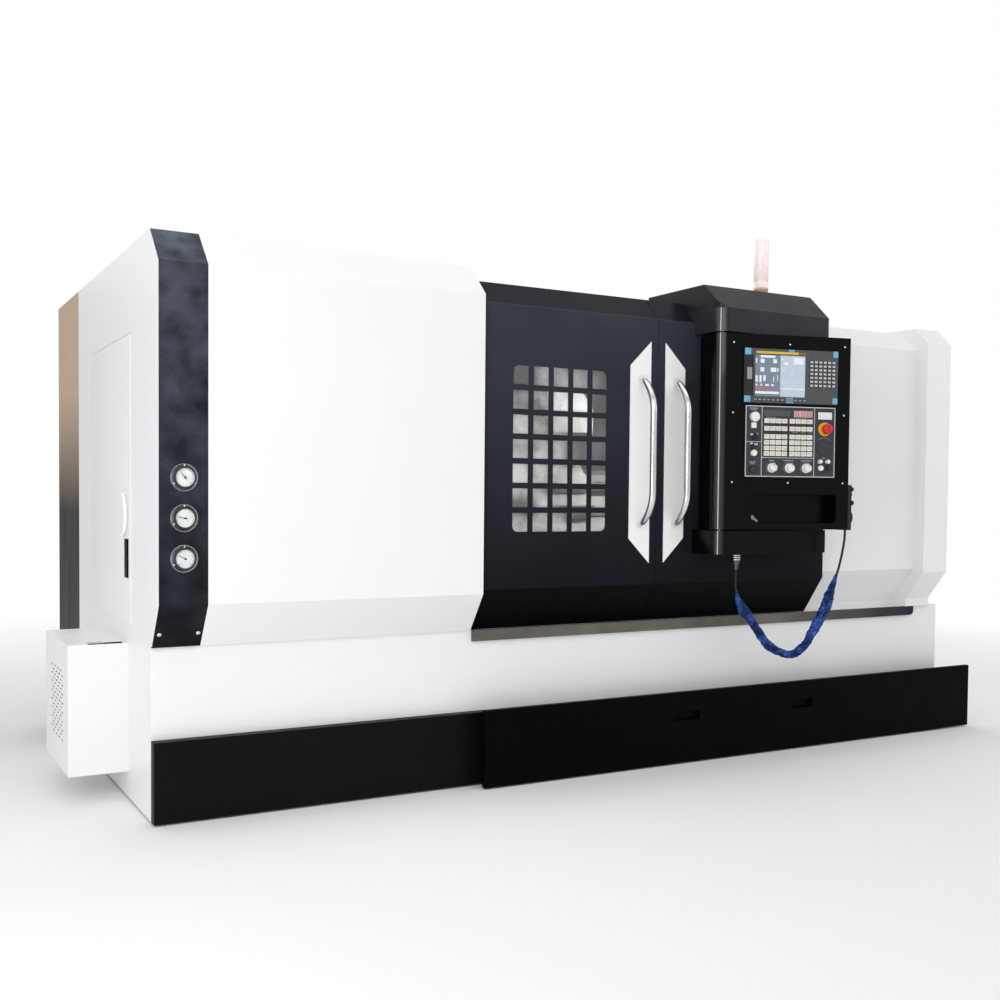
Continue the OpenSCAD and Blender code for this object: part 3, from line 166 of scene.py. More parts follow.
class Sketch:
    """Builds nodes of a shader or geometry tree."""

    def __init__(self, tree):
        self.tree = tree

    def feed(self, socket, value):
        """Links a socket to another, or sets its value."""
        if isinstance(value, bpy.types.NodeSocket):
            self.tree.links.new(value, socket)
        else:
            socket.default_value = tone(value) if socket.type == "RGBA" else value

    def add(self, kind, values=None, **settings):
        made = self.tree.nodes.new(kind)
        for key, value in settings.items():
            setattr(made, key, value)
        for key, value in (values or {}).items():
            self.feed(made.inputs[key], value)
        return made

    def sockets(self, inputs, outputs):
        """Named sockets of a group: each has its kind, or an input its default."""
        for way, table in (("INPUT", inputs), ("OUTPUT", outputs)):
            for label, value in table.items():
                kind = "NodeSocket" + socket_kind(value)
                socket = self.tree.interface.new_socket(label, in_out=way, socket_type=kind)
                if not isinstance(value, str):
                    socket.default_value = value
        return self.add("NodeGroupInput").outputs, self.add("NodeGroupOutput").inputs

    def math(self, operation, first, second=0.5, clamp=False):
        values = {0: first, 1: second}
        return self.add("ShaderNodeMath", values, operation=operation, use_clamp=clamp).outputs[0]

    def about_one(self, value, amount):
        """One, changed by a share of a value."""
        return self.math("ADD", self.math("MULTIPLY", value, amount), 1.0)

    def vector(self, operation, first, second=None):
        """A vector sum; SCALE takes a number second, and some give a number."""
        made = self.add("ShaderNodeVectorMath", {0: first}, operation=operation)
        if second is not None:
            self.feed(made.inputs["Scale" if operation == "SCALE" else 1], second)
        return made.outputs["Value" if operation in ("LENGTH", "DOT_PRODUCT") else "Vector"]

    def spread(self, value, low, high, bottom=0.0, top=1.0):
        """A value brought from one range to another and held at its ends."""
        return self.add("ShaderNodeMapRange", {"Value": value, "From Min": low, "From Max": high,
                                               "To Min": bottom, "To Max": top}).outputs["Result"]

    def mixed(self, share, first, second):
        """A colour between two colours."""
        return self.add("ShaderNodeMix", {0: share, 6: first, 7: second}, data_type="RGBA").outputs[2]

    def place(self):
        """A surface point's own place on its piece."""
        return self.add("ShaderNodeTexCoord").outputs["Object"]

    def along(self, axis, place):
        return self.add("ShaderNodeSeparateXYZ", {"Vector": place}).outputs[axis]

    def stretched(self, place, scale):
        return self.add("ShaderNodeMapping", {"Vector": place, "Scale": scale}).outputs[0]

    def cloud(self, place, scale, detail=2.0, roughness=0.5):
        """Soft noise round a half."""
        return self.add("ShaderNodeTexNoise", {"Vector": place, "Scale": scale, "Detail": detail,
                                               "Roughness": roughness}).outputs[0]


def built_once(name, kind="ShaderNodeTree"):
    """Builds a node group when it is first asked for."""
    def keep(build):
        def get():
            tree = bpy.data.node_groups.get(name)
            if tree is None:
                tree = bpy.data.node_groups.new(name, kind)
                build(Sketch(tree))
            return tree
        return get
    return keep


# ------------------------------------------------------------------ shader groups


SURFACE = {"Color": "Color", "Roughness": "Float", "Height": "Float"}
GREY = (0.5, 0.5, 0.5, 1.0)
# A fold above and a skirt below any piece, which change no tone
NO_FOLD = (9.0, 1.0)
NO_SKIRT = (-9.0, 1.0)
FOLD_WIDTH = 0.006
DUST_HEIGHT = 0.4
# Heights between which the paint goes from darker to lighter: a painted reflection
LIFT_HEIGHTS = (0.55, 1.75)
PEEL_SCALE = 420.0
# The way that the middle of the pod's round edge faces
EDGE_HEADING = (-0.78, -0.626, 0.0)


@built_once("sprayed_coat")
def coat_group(k):
    """Baked paint: cloudy tone, painted light and shade (lighter higher up, another tone past folds and
    skirts), orange peel, dust near the floor.
    """
    take, give = k.sockets(
        {"Paint": GREY, "Cloud": 0.05, "Cloud Scale": 1.7, "Lift": 0.0, "Fold Height": NO_FOLD[0],
         "Fold Tone": NO_FOLD[1], "Skirt Height": NO_SKIRT[0], "Skirt Tone": NO_SKIRT[1], "Dust": 0.1,
         "Dust Tone": (0.45, 0.43, 0.4, 1.0), "Smear": 0.1, "Gloss": 0.35, "Peel": 0.2}, SURFACE)
    place = k.place()
    height = k.along("Z", place)
    low = k.spread(height, 0.0, DUST_HEIGHT, 1.0, 0.12)
    dusty = k.math("MULTIPLY", k.spread(k.cloud(place, 60.0, 4.0), 0.35, 0.75), low)
    dusty = k.math("MULTIPLY", dusty, take["Dust"], clamp=True)
    cloud = k.cloud(place, take["Cloud Scale"], 4.0)
    shade = k.about_one(k.spread(cloud, 0.3, 0.7, -1.0, 1.0), take["Cloud"])
    # Painted reflection: by height the paint is made darker low down and lighter high up
    rise = k.spread(height, *LIFT_HEIGHTS, -1.0, 1.0)
    shade = k.math("MULTIPLY", shade, k.about_one(rise, take["Lift"]))
    # Painted shade and painted light of sloped sheet: past a fold, or below a skirt, the paint takes another
    # tone
    for edge, way in (("Fold", 1.0), ("Skirt", -1.0)):
        past = k.math("MULTIPLY", k.math("SUBTRACT", height, take[edge + " Height"]), way)
        change = k.math("SUBTRACT", take[edge + " Tone"], 1.0)
        shade = k.math("MULTIPLY", shade, k.about_one(k.spread(past, 0.0, FOLD_WIDTH), change))
    k.feed(give["Color"], k.mixed(dusty, k.vector("SCALE", take["Paint"], shade), take["Dust Tone"]))
    wiped = k.cloud(k.stretched(place, (3.0, 3.0, 0.5)), 6.0, 6.0, 0.65)
    smear = k.math("MULTIPLY", k.spread(wiped, 0.4, 0.7), take["Smear"])
    rough = k.math("ADD", k.math("ADD", take["Gloss"], smear), k.math("MULTIPLY", dusty, 0.5))
    k.feed(give["Roughness"], k.math("MINIMUM", rough, 0.95))
    k.feed(give["Height"], k.math("MULTIPLY", k.cloud(place, PEEL_SCALE), take["Peel"]))


@built_once("brushed_lines")
def brushed_group(k):
    """Brushed metal: fine lines along one axis, stains and a worn tone."""
    take, give = k.sockets(
        {"Metal": GREY, "Lines": (4.0, 400.0, 400.0), "Gloss": 0.3, "Stain": 0.15}, SURFACE)
    place = k.place()
    lines = k.cloud(k.vector("MULTIPLY", place, take["Lines"]), 1.0, 3.0)
    stain = k.math("MULTIPLY", k.spread(k.cloud(place, 5.0, 5.0), 0.35, 0.7), take["Stain"])
    k.feed(give["Color"], k.mixed(stain, take["Metal"], k.vector("SCALE", take["Metal"], 0.55)))
    rough = k.math("ADD", take["Gloss"], k.math("MULTIPLY", lines, 0.16))
    k.feed(give["Roughness"], k.math("ADD", rough, k.math("MULTIPLY", stain, 0.5)))
    k.feed(give["Height"], lines)


@built_once("moulded_grain")
def moulded_group(k):
    """Moulded plastic: fine grain and a slightly uneven tone."""
    take, give = k.sockets({"Plastic": GREY, "Gloss": 0.4, "Grain": 900.0}, SURFACE)
    place = k.place()
    tint = k.cloud(place, 45.0)
    faded = k.vector("SCALE", take["Plastic"], 0.86)
    k.feed(give["Color"], k.mixed(k.spread(tint, 0.35, 0.7), take["Plastic"], faded))
    k.feed(give["Roughness"], k.math("ADD", take["Gloss"], k.math("MULTIPLY", tint, 0.1)))
    k.feed(give["Height"], k.cloud(place, take["Grain"]))


@built_once("polished_round_edge")
def edge_group(k):
    """A mask of the round edge about an upright axis, up to a height."""
    take, give = k.sockets({"Axis": (0.0, 0.0, 0.0), "Radius": 0.045, "Top": 9.0}, {"Coat": "Float"})
    place = k.place()
    level = k.vector("MULTIPLY", k.vector("SUBTRACT", place, take["Axis"]), (1.0, 1.0, 0.0))
    past = k.math("SUBTRACT", k.vector("LENGTH", level), take["Radius"])
    middle = k.vector("DOT_PRODUCT", k.vector("NORMALIZE", level), EDGE_HEADING)
    weight = k.math("MULTIPLY", k.spread(past, 0.0005, 0.005, 1.0, 0.0), k.spread(middle, 0.85, 0.99))
    above = k.math("SUBTRACT", k.along("Z", place), take["Top"])
    k.feed(give["Coat"], k.math("MULTIPLY", weight, k.spread(above, -0.002, 0.0, 1.0, 0.0)))


# ------------------------------------------------------------------ materials


def open_shader(material):
    """The sketch of a material's nodes and the sockets of its shader."""
    tree = material.node_tree
    return Sketch(tree), tree.nodes["Principled BSDF"].inputs


def new_material(name):
    made = bpy.data.materials.new(name)
    made.use_nodes = True
    return made, *open_shader(made)


def add_bump(k, bsdf, height, strength, reach):
    relief = k.add("ShaderNodeBump", {"Strength": strength, "Distance": reach, "Height": height})
    k.feed(bsdf["Normal"], relief.outputs["Normal"])


def finish(name, group, values, bump=0.02, reach=0.0002, **shader):
    """A material whose colour, roughness and bump come from one of the groups."""
    if name in bpy.data.materials:
        return bpy.data.materials[name]
    made, k, bsdf = new_material(name)
    effect = k.add("ShaderNodeGroup", values, node_tree=group)
    k.feed(bsdf["Base Color"], effect.outputs["Color"])
    k.feed(bsdf["Roughness"], effect.outputs["Roughness"])
    if bump:
        add_bump(k, bsdf, effect.outputs["Height"], bump, reach)
    for key, value in shader.items():
        k.feed(bsdf[key.replace("_", " ")], value)
    made.diffuse_color = tone(next(iter(values.values()))[:3])
    return made


def coat(name, paint, gloss=0.35, cloud=0.03, patch=1.7, painted_light_rise=0.0, fold=NO_FOLD, skirt=NO_SKIRT,
         dust=0.05, smear=0.08, peel=0.25, bump=0.12, **shader):
    return finish(name, coat_group(),
                  {"Paint": tone(paint), "Gloss": gloss, "Cloud": cloud, "Cloud Scale": patch, "Lift": painted_light_rise,
                   "Fold Height": fold[0], "Fold Tone": fold[1], "Skirt Height": skirt[0],
                   "Skirt Tone": skirt[1], "Dust": dust, "Smear": smear, "Peel": peel}, bump, **shader)


def metal(name, color, lines=(4.0, 400.0, 400.0), gloss=0.28, stain=0.15, bump=0.06):
    return finish(name, brushed_group(),
                  {"Metal": tone(color), "Lines": lines, "Gloss": gloss, "Stain": stain},
                  bump, reach=0.0001, Metallic=1.0)


def plastic(name, color, gloss=0.4, grain=900.0, bump=0.05, **shader):
    values = {"Plastic": tone(color), "Gloss": gloss, "Grain": grain}
    return finish(name, moulded_group(), values, bump, **shader)


def ink(name, color, gloss=0.5):
    """Plastic without grain, as print is."""
    return plastic(name, color, gloss, bump=0.0)


def glowing(name, color, strength):
    """Plastic that shines a little by itself, as a display does."""
    return plastic(name, color, gloss=0.25, Emission_Color=tone(color), Emission_Strength=strength)


def polish_edge(material, top=NO_FOLD[0]):
    """Gives the pod's round edge a clear coat that mirrors the lamps."""
    k, bsdf = open_shader(material)
    effect = k.add("ShaderNodeGroup", {"Axis": PIVOT, "Top": top}, node_tree=edge_group())
    k.feed(bsdf["Coat Weight"], effect.outputs["Coat"])
    k.feed(bsdf["Coat Roughness"], 0.05)
    k.feed(bsdf["Coat IOR"], 1.75)
    return material


def overlay(material, mask, color):
    """Mixes a colour over a material's own, by a mask that a function draws."""
    k, bsdf = open_shader(material)
    own = bsdf["Base Color"].links[0].from_socket
    k.feed(bsdf["Base Color"], k.mixed(mask(k), own, color))
    return material


def paints():
    return bpy.context.scene.lathe_finishes


def white_paint():
    return coat("white_sheet_paint", paints().white, gloss=0.33, cloud=0.012, smear=0.07)


def lit_plate_paint():
    # A lighter copy of the white paint: painted light on the handle plates and on the access door's pull
    return coat("handle_plate_white", (0.95, 0.95, 0.95), gloss=0.3, cloud=0.01, dust=0.0, smear=0.05)


def door_paint():
    # Painted reflection and painted shade: lighter towards the top, darker on the slope above the upper fold
    # and on the slope below the lower skirt
    return coat("charcoal_door_paint", paints().charcoal, gloss=0.3, cloud=0.15, patch=2.5, painted_light_rise=0.85,
                fold=(DOOR_FOLD, 0.3), skirt=(DOOR_SKIRT, 0.25), dust=0.005, smear=0.1, peel=0.5, bump=0.2,
                Specular_IOR_Level=0.05)


def pod_paint():
    return polish_edge(coat("black_pod_paint", paints().pod, gloss=0.22, cloud=0.1, dust=0.0, smear=0.06,
                            peel=0.3, bump=0.1, Specular_IOR_Level=0.14))


def hood_paint():
    # Painted shade: darker above the hood's fold, on its top slope
    made = coat("grey_hood_paint", paints().hood, gloss=0.3, cloud=0.2, patch=6.0, fold=(HOOD_FOLD, 0.6),
                dust=0.01, smear=0.1, peel=0.5, bump=0.2, Specular_IOR_Level=0.2)
    return polish_edge(made, top=HOOD_FOLD)


def slate_paint():
    # Painted reflection: lighter towards the top, and lighter still above the column's fold, on its top slope
    return coat("slate_column_paint", paints().slate, gloss=0.32, cloud=0.6, patch=11.0, painted_light_rise=0.72,
                fold=(COLUMN_FOLD, 1.6), dust=0.005, smear=0.2, peel=0.5, bump=0.2, Specular_IOR_Level=0.07)


def tank_paint():
    return coat("black_tank_paint", (0.0012, 0.0012, 0.0012), gloss=0.45, cloud=0.2, dust=0.001, smear=0.1,
                peel=0.5, bump=0.2, Specular_IOR_Level=0.04)


def black_paint():
    return coat("black_kick_paint", paints().black, gloss=0.42, cloud=0.2, dust=0.004, smear=0.15,
                peel=0.6, bump=0.25, Specular_IOR_Level=0.1)


def cabinet_paint():
    """Dark coat; on the cabinet's left side a painted reflection in tan lightens it towards the top."""
    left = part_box("electrical_cabinet")[0].x

    # Painted reflection: a tan tone mixed over the left side, more of it higher up
    def painted_warm_reflection(k):
        place = k.place()
        side = k.spread(k.along("X", place), left + 0.002, left + 0.004, 1.0, 0.0)
        return k.math("MULTIPLY", side, k.spread(k.along("Z", place), 0.96, 1.45))

    made = coat("slate_cabinet_paint", (0.015, 0.0155, 0.015), gloss=0.38, cloud=0.15, dust=0.005, smear=0.1,
                Specular_IOR_Level=0.04)
    return overlay(made, painted_warm_reflection, (0.56, 0.42, 0.31))


def sill_steel():
    """Rolled steel that darkens towards the strip's right end."""
    low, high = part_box("sill_strip")

    def right(k):
        return k.spread(k.along("X", k.place()), low.x + 0.6 * (high.x - low.x), high.x)

    made = metal("sill_rolled_steel", (0.2, 0.19, 0.165), lines=(3.0, 300.0, 300.0), gloss=0.26, stain=0.6)
    return overlay(made, right, (0.035, 0.033, 0.05))


def steel():
    return metal("brushed_steel", (0.56, 0.55, 0.53))


def polished():
    return metal("polished_steel", (0.78, 0.78, 0.79), lines=(300.0, 300.0, 5.0), gloss=0.12, stain=0.05)


def black_plastic():
    return plastic("black_moulding", (0.012, 0.012, 0.014), gloss=0.38)


def pale_plastic():
    return plastic("pale_moulding", (0.86, 0.855, 0.83), gloss=0.32)


def cord_rubber():
    return plastic("cord_rubber", (0.012, 0.012, 0.013), gloss=0.45)


def pale_print():
    return ink("pale_legend_print", (0.6, 0.61, 0.62))


def window_sheet():
    """Clear sheet, clouded by wear, most of all towards its left edge."""
    made, k, bsdf = new_material("window_clouded_sheet")
    low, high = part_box("window_pane")
    place = k.place()
    cloud = k.cloud(place, 6.5, 5.0)
    wipes = k.cloud(k.stretched(place, (6.0, 6.0, 3.0)), 4.0, 6.0)
    veil = k.math("ADD", k.spread(k.along("X", place), low.x, high.x, 0.8, -0.1),
                  k.spread(cloud, 0.3, 0.7, -0.1, 0.1))
    veil = k.math("ADD", veil, k.spread(wipes, 0.4, 0.7, 0.0, 0.08))
    k.feed(bsdf["Alpha"], k.spread(veil, 0.05, 0.95, 0.05, 0.92))
    worn = k.mixed(k.spread(cloud, 0.35, 0.65), (0.17, 0.175, 0.17), (0.72, 0.725, 0.72))
    k.feed(bsdf["Base Color"], worn)
    k.feed(bsdf["Roughness"], k.spread(wipes, 0.3, 0.7, 0.1, 0.35))
    k.feed(bsdf["Specular IOR Level"], 0.3)
    return made


def gauge_glass():
    """Clear glass with a faint wiped haze."""
    made, k, bsdf = new_material("gauge_glass")
    k.feed(bsdf["Base Color"], (0.96, 0.97, 0.97))
    k.feed(bsdf["Transmission Weight"], 1.0)
    k.feed(bsdf["IOR"], 1.15)
    k.feed(bsdf["Roughness"], k.spread(k.cloud(k.place(), 9.0, 4.0), 0.35, 0.7, 0.01, 0.03))
    return made


def film_sheet():
    """Crinkled film: deep blue, with a painted highlight of paler blue along its folds."""
    made, k, bsdf = new_material("crinkled_blue_film")
    place = k.place()
    folds = k.add("ShaderNodeTexVoronoi", {"Vector": place, "Scale": 75.0},
                  feature="DISTANCE_TO_EDGE").outputs["Distance"]
    tint = k.cloud(place, 30.0, 4.0)
    deep = Vector(paints().film)
    base = k.mixed(k.spread(tint, 0.38, 0.62), tuple(deep * 0.45), tuple(deep * 1.45))
    # Painted highlight: paler blue along the edges of the folds
    painted_glint = k.math("MULTIPLY", k.spread(folds, 0.0, 0.05, 1.0, 0.0), k.spread(tint, 0.46, 0.58))
    k.feed(bsdf["Base Color"], k.mixed(painted_glint, base, (0.22, 0.42, 0.88)))
    k.feed(bsdf["Roughness"], k.spread(tint, 0.3, 0.7, 0.12, 0.3))
    rumple = k.math("MULTIPLY", k.cloud(place, 110.0, 3.0), 0.8)
    add_bump(k, bsdf, k.math("ADD", k.spread(folds, 0.0, 0.12), rumple), 0.8, 0.005)
    k.feed(bsdf["Specular IOR Level"], 0.3)
    return made


# ------------------------------------------------------------------ mesh helpers


def add_box(bm, centre, size, matrix=Matrix(), edge=0.0, rounds=2):
    """A box in millimetres round a point of the matrix's frame, its edges rounded."""
    scale = Matrix.Diagonal((*(Vector(size) * MM), 1.0))
    place = matrix @ Matrix.Translation(Vector(centre) * MM) @ scale
    made = bmesh.ops.create_cube(bm, size=1.0, matrix=place)
    if edge:
        edges = list({e for v in made["verts"] for e in v.link_edges})
        bmesh.ops.bevel(bm, geom=edges, offset=edge * MM, segments=rounds, affect="EDGES", profile=0.6)


def circle(sides):
    return [2 * math.pi * i / sides for i in range(sides)]


def join_loops(bm, low, high):
    """A band of faces between two loops of as many points."""
    for i in range(len(low)):
        j = (i + 1) % len(low)
        bm.faces.new((low[i], low[j], high[j], high[i]))


def add_turned(bm, profile, matrix=Matrix(), sides=40, ring=False):
    """A form turned round the matrix's z axis from (radius, height) in millimetres; a ring has no ends."""
    loops = []
    for radius, height in profile:
        spots = [(radius * MM * math.cos(a), radius * MM * math.sin(a))
                 for a in circle(sides if radius else 1)]
        loops.append([bm.verts.new(matrix @ Vector((x, y, height * MM))) for x, y in spots])
    for low, high in zip(loops, loops[1:] + loops[:1] if ring else loops[1:]):
        for i in range(sides):
            j = (i + 1) % sides
            corners = [low[i % len(low)], low[j % len(low)], high[j % len(high)], high[i % len(high)]]
            corners = list(dict.fromkeys(corners))
            if len(corners) > 2:
                bm.faces.new(corners)
    for end in () if ring else (loops[0], loops[-1]):
        if len(end) > 1:
            bm.faces.new(end)


def add_tube(bm, points, reach, sides):
    """A closed tube round points in metres, as wide as reach says at a point and an angle."""
    loops = []
    side = None
    for i, point in enumerate(points):
        ahead = (points[min(i + 1, len(points) - 1)] - points[max(i - 1, 0)]).normalized()
        if side is None:
            side = ahead.cross(Vector((0.3, 1.0, 0.1))).normalized()
        side = (side - ahead * side.dot(ahead)).normalized()
        up = ahead.cross(side)
        loops.append([bm.verts.new(point + (side * math.cos(a) + up * math.sin(a)) * reach(i, a))
                      for a in circle(sides)])
    for low, high in zip(loops, loops[1:]):
        join_loops(bm, low, high)
    bm.faces.new(loops[0])
    bm.faces.new(loops[-1])


def smooth_line(points, steps):
    """A smooth line through points, with a number of steps between two of them."""
    line = []
    for i in range(len(points) - 1):
        a, b = points[i], points[i + 1]
        before = points[i - 1] if i else a - (b - a)
        after = points[i + 2] if i + 2 < len(points) else b + (b - a)
        for step in range(steps):
            t = step / steps
            line.append(0.5 * (2 * a + (b - before) * t + (2 * before - 5 * a + 4 * b - after) * t ** 2
                               + (3 * a - before - 3 * b + after) * t ** 3))
    return line + [points[-1]]


def closed_mesh(name, bm, sharp=SHARP_ANGLE):
    """A mesh whose faces point outwards, smooth up to an angle, or flat where that is None."""
    bmesh.ops.recalc_face_normals(bm, faces=bm.faces)
    mesh = bpy.data.meshes.new(name)
    bm.to_mesh(mesh)
    bm.free()
    if sharp is not None:
        mesh.shade_smooth()
        mesh.set_sharp_from_angle(angle=sharp)
    return mesh


def add_object(name, mesh, body=None):
    """An object at the origin that rides on a body."""
    made = bpy.data.objects.new(name, mesh)
    bpy.context.scene.collection.objects.link(made)
    if body:
        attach(made, body)
    return made


def make_piece(name, bm, material, body=None, sharp=SHARP_ANGLE):
    mesh = closed_mesh(name, bm, sharp)
    mesh.materials.append(material)
    return add_object(name, mesh, body)


def box_piece(name, boxes, material, body):
    """Plates of the machine: (place from its corner, size, edge) in millimetres."""
    bm = bmesh.new()
    for spot, size, edge in boxes:
        add_box(bm, at(*spot) / MM, size, edge=edge)
    return make_piece(name, bm, material, body)


def turned_piece(name, profile, seats, material, body="control_panel", sides=40):
    """The same turned form at each seat."""
    bm = bmesh.new()
    for seat in seats:
        add_turned(bm, profile, seat, sides)
    return make_piece(name, bm, material, body)


def flat_pieces(name, depth, thick, material, boxes, edge=0.0):
    """Thin plates on the panel: (s, z, width, height) from a lower left corner, some with a thickness."""
    bm = bmesh.new()
    for s, z, width, height, *own in boxes:
        deep = own[0] if own else thick
        add_box(bm, (s + width / 2, depth - deep / 2, z + height / 2), (width, deep, height), PANEL, edge)
    return make_piece(name, bm, material, "control_panel")


def screw_form(width, height):
    """A button head screw with a socket, standing on its own origin."""
    r = width / MM / 2
    h = height / MM
    bm = bmesh.new()
    add_turned(bm, ((0, -1), (r * 0.5, -1), (r * 0.5, 0), (r, 0), (r, h * 0.35), (r * 0.86, h * 0.75),
                    (r * 0.6, h), (r * 0.42, h), (r * 0.38, h * 0.45), (0, h * 0.4)), sides=20)
    return bm


# ------------------------------------------------------------------ geometry nodes


def lay_copies(k, give, points, form, angles, material, size=(1.0, 1.0, 1.0)):
    """Ends a tree: a form on each point, made real and given its material."""
    turn = k.add("FunctionNodeEulerToRotation", {"Euler": angles}).outputs[0]
    laid = k.add("GeometryNodeInstanceOnPoints",
                 {"Points": points, "Instance": form, "Rotation": turn, "Scale": size}).outputs[0]
    real = k.add("GeometryNodeRealizeInstances", {"Geometry": laid}).outputs[0]
    painted = k.add("GeometryNodeSetMaterial", {"Geometry": real, "Material": material})
    k.feed(give["Geometry"], painted.outputs[0])


@built_once("copies_on_points", "GeometryNodeTree")
def copies_tree(k):
    """A copy of one form on every point of a mesh, turned by the point's own angles."""
    take, give = k.sockets({"Points": "Geometry", "Form": "Object", "Size": "Float", "Material": "Material"},
                           {"Geometry": "Geometry"})
    form = k.add("GeometryNodeObjectInfo", {"Object": take["Form"]}).outputs["Geometry"]
    turn = k.add("GeometryNodeInputNamedAttribute", {"Name": "turn"}, data_type="FLOAT_VECTOR")
    lay_copies(k, give, take["Points"], form, turn.outputs["Attribute"], take["Material"], take["Size"])


@built_once("marks_on_arc", "GeometryNodeTree")
def marks_tree(k):
    """Flat marks along an arc, each pointing away from its middle."""
    take, give = k.sockets({"Geometry": "Geometry", "Count": "Int", "Radius": "Float", "Sweep": "Float",
                            "Mark": "Vector", "Material": "Material"}, {"Geometry": "Geometry"})
    row = k.add("GeometryNodeMeshLine", {"Count": take["Count"]}).outputs[0]
    index = k.add("GeometryNodeInputIndex").outputs[0]
    share = k.math("DIVIDE", index, k.math("SUBTRACT", take["Count"], 1.0))
    angle = k.math("MULTIPLY", k.math("SUBTRACT", share, 0.5), take["Sweep"])
    spot = k.add("ShaderNodeCombineXYZ", {
        "X": k.math("MULTIPLY", k.math("SINE", angle), take["Radius"]),
        "Y": k.math("MULTIPLY", k.math("COSINE", angle), take["Radius"])}).outputs[0]
    points = k.add("GeometryNodeSetPosition", {"Geometry": row, "Position": spot}).outputs[0]
    turn = k.add("ShaderNodeCombineXYZ", {"Z": k.math("MULTIPLY", angle, -1.0)}).outputs[0]
    mark = k.add("GeometryNodeMeshCube", {"Size": take["Mark"]}).outputs[0]
    lay_copies(k, give, points, mark, turn, take["Material"])


def grown(name, tree, inputs, base=None):
    """The plain mesh that a geometry tree makes, with its named inputs set."""
    carrier = add_object(name + "_carrier", base or bpy.data.meshes.new(name + "_carrier"))
    modifier = carrier.modifiers.new("grow", "NODES")
    modifier.node_group = tree
    for item in tree.interface.items_tree:
        if item.item_type == "SOCKET" and item.in_out == "INPUT" and item.name in inputs:
            modifier[item.identifier] = inputs[item.name]
    bpy.context.view_layer.update()
    view = carrier.evaluated_get(bpy.context.evaluated_depsgraph_get())
    mesh = bpy.data.meshes.new_from_object(view)
    mesh.name = name
    carrier.modifiers.remove(modifier)
    bpy.data.objects.remove(carrier)
    return mesh


def place_copies(name, bm, spots, material, body="control_panel", sharp=SHARP_ANGLE):
    """Copies of one small form at matrices in the frame, joined to one piece."""
    form = add_object(name + "_form", closed_mesh(name + "_form", bm, sharp))
    points = bpy.data.meshes.new(name + "_points")
    points.from_pydata([m.to_translation() for m in spots], [], [])
    turn = points.attributes.new("turn", "FLOAT_VECTOR", "POINT")
    for item, m in zip(turn.data, spots):
        item.vector = m.to_euler("XYZ")
    mesh = grown(name, copies_tree(), {"Form": form, "Size": 1.0, "Material": material}, points)
    bpy.data.objects.remove(form)
    return add_object(name, mesh, body)


def turned_copies(name, profile, spots, material, body="machine", sides=64, ring=False,
                  sharp=SHARP_ANGLE):
    """Copies of one turned form, joined to one piece."""
    bm = bmesh.new()
    add_turned(bm, profile, sides=sides, ring=ring)
    return place_copies(name, bm, spots, material, body, sharp)


def marks_mesh(name, count, radius, sweep, mark, material):
    """Marks round a dial, in millimetres, in the plane of x and y."""
    return grown(name, marks_tree(), {
        "Count": count, "Radius": radius * MM, "Sweep": math.radians(sweep),
        "Mark": tuple(v * MM for v in mark), "Material": material})


def arc_marks(name, count, radius, sweep, mark, material, matrix):
    """Marks round a control of the panel, laid in the matrix's own plane."""
    mesh = marks_mesh(name, count, radius, sweep, mark, material)
    mesh.transform(matrix)
    return add_object(name, mesh, "control_panel")


# ------------------------------------------------------------------ camera, cord


SENSOR = 36.0
CAMERA_SPOT = (-802.3, -3637.7, 1036.3)
CAMERA_TURN = (29.2745, 1.9252, -0.512)
CAMERA_FOCUS = 1149.27 / 1000.0
CAMERA_SHIFT = (0.00168, 0.03485)
CAMERA_REACH = 200.0

# The cord's way from the connector to the panel, and its end on the panel
CORD_ROUTE = (
    (2184, -200, 760), (2183, -200, 720), (2184, -200, 690), (2190, -203, 655), (2207, -208, 615),
    (2240, -217, 570), (2275, -228, 520), (2326, -244, 456), (2396, -265, 424), (2440, -279, 436),
    (2480, -292, 480), (2524, -305, 560), (2559, -316, 640), (2587, -324, 722), (2600, -328, 760),
    (2614, -333, 823), (2622, -336, 880),
)
CORD_END = (545, 10, 915)
CORD_STEPS = 4
# The route's points between which the film lies, and its radii along them
FILM_FROM, FILM_TO = 3, 13
FILM_STEPS = 16
FILM_WIDTHS = (5.2, 6.5, 9, 13, 18, 23, 21, 17, 17, 19, 18, 17, 16, 16, 17, 17, 18, 18, 19, 22, 23, 19, 13, 8,
               5.4, 5.2)
FILM_LEAST = 4.9


class LATHE_OT_camera(bpy.types.Operator):
    """Puts the camera where the photograph was taken from"""

    bl_idname = "lathe.camera"
    bl_label = "Camera"

    def execute(self, context):
        yaw, pitch, roll = (math.radians(v) for v in CAMERA_TURN)
        ahead = Vector((math.sin(yaw) * math.cos(pitch), math.cos(yaw) * math.cos(pitch), -math.sin(pitch)))
        right = Vector((math.cos(yaw), -math.sin(yaw), 0.0))
        down = ahead.cross(right)
        across = right * math.cos(roll) + down * math.sin(roll)
        under = down * math.cos(roll) - right * math.sin(roll)
        data = bpy.data.cameras.new("photo_camera")
        data.sensor_width = SENSOR
        data.lens = SENSOR * CAMERA_FOCUS
        data.shift_x, data.shift_y = CAMERA_SHIFT
        data.clip_end = CAMERA_REACH
        camera = add_object("photo_camera", data)
        turn = Matrix((across, -under, -ahead)).transposed()
        camera.matrix_world = Matrix.Translation(at(*CAMERA_SPOT)) @ turn.to_4x4()
        context.scene.camera = camera
        return {"FINISHED"}


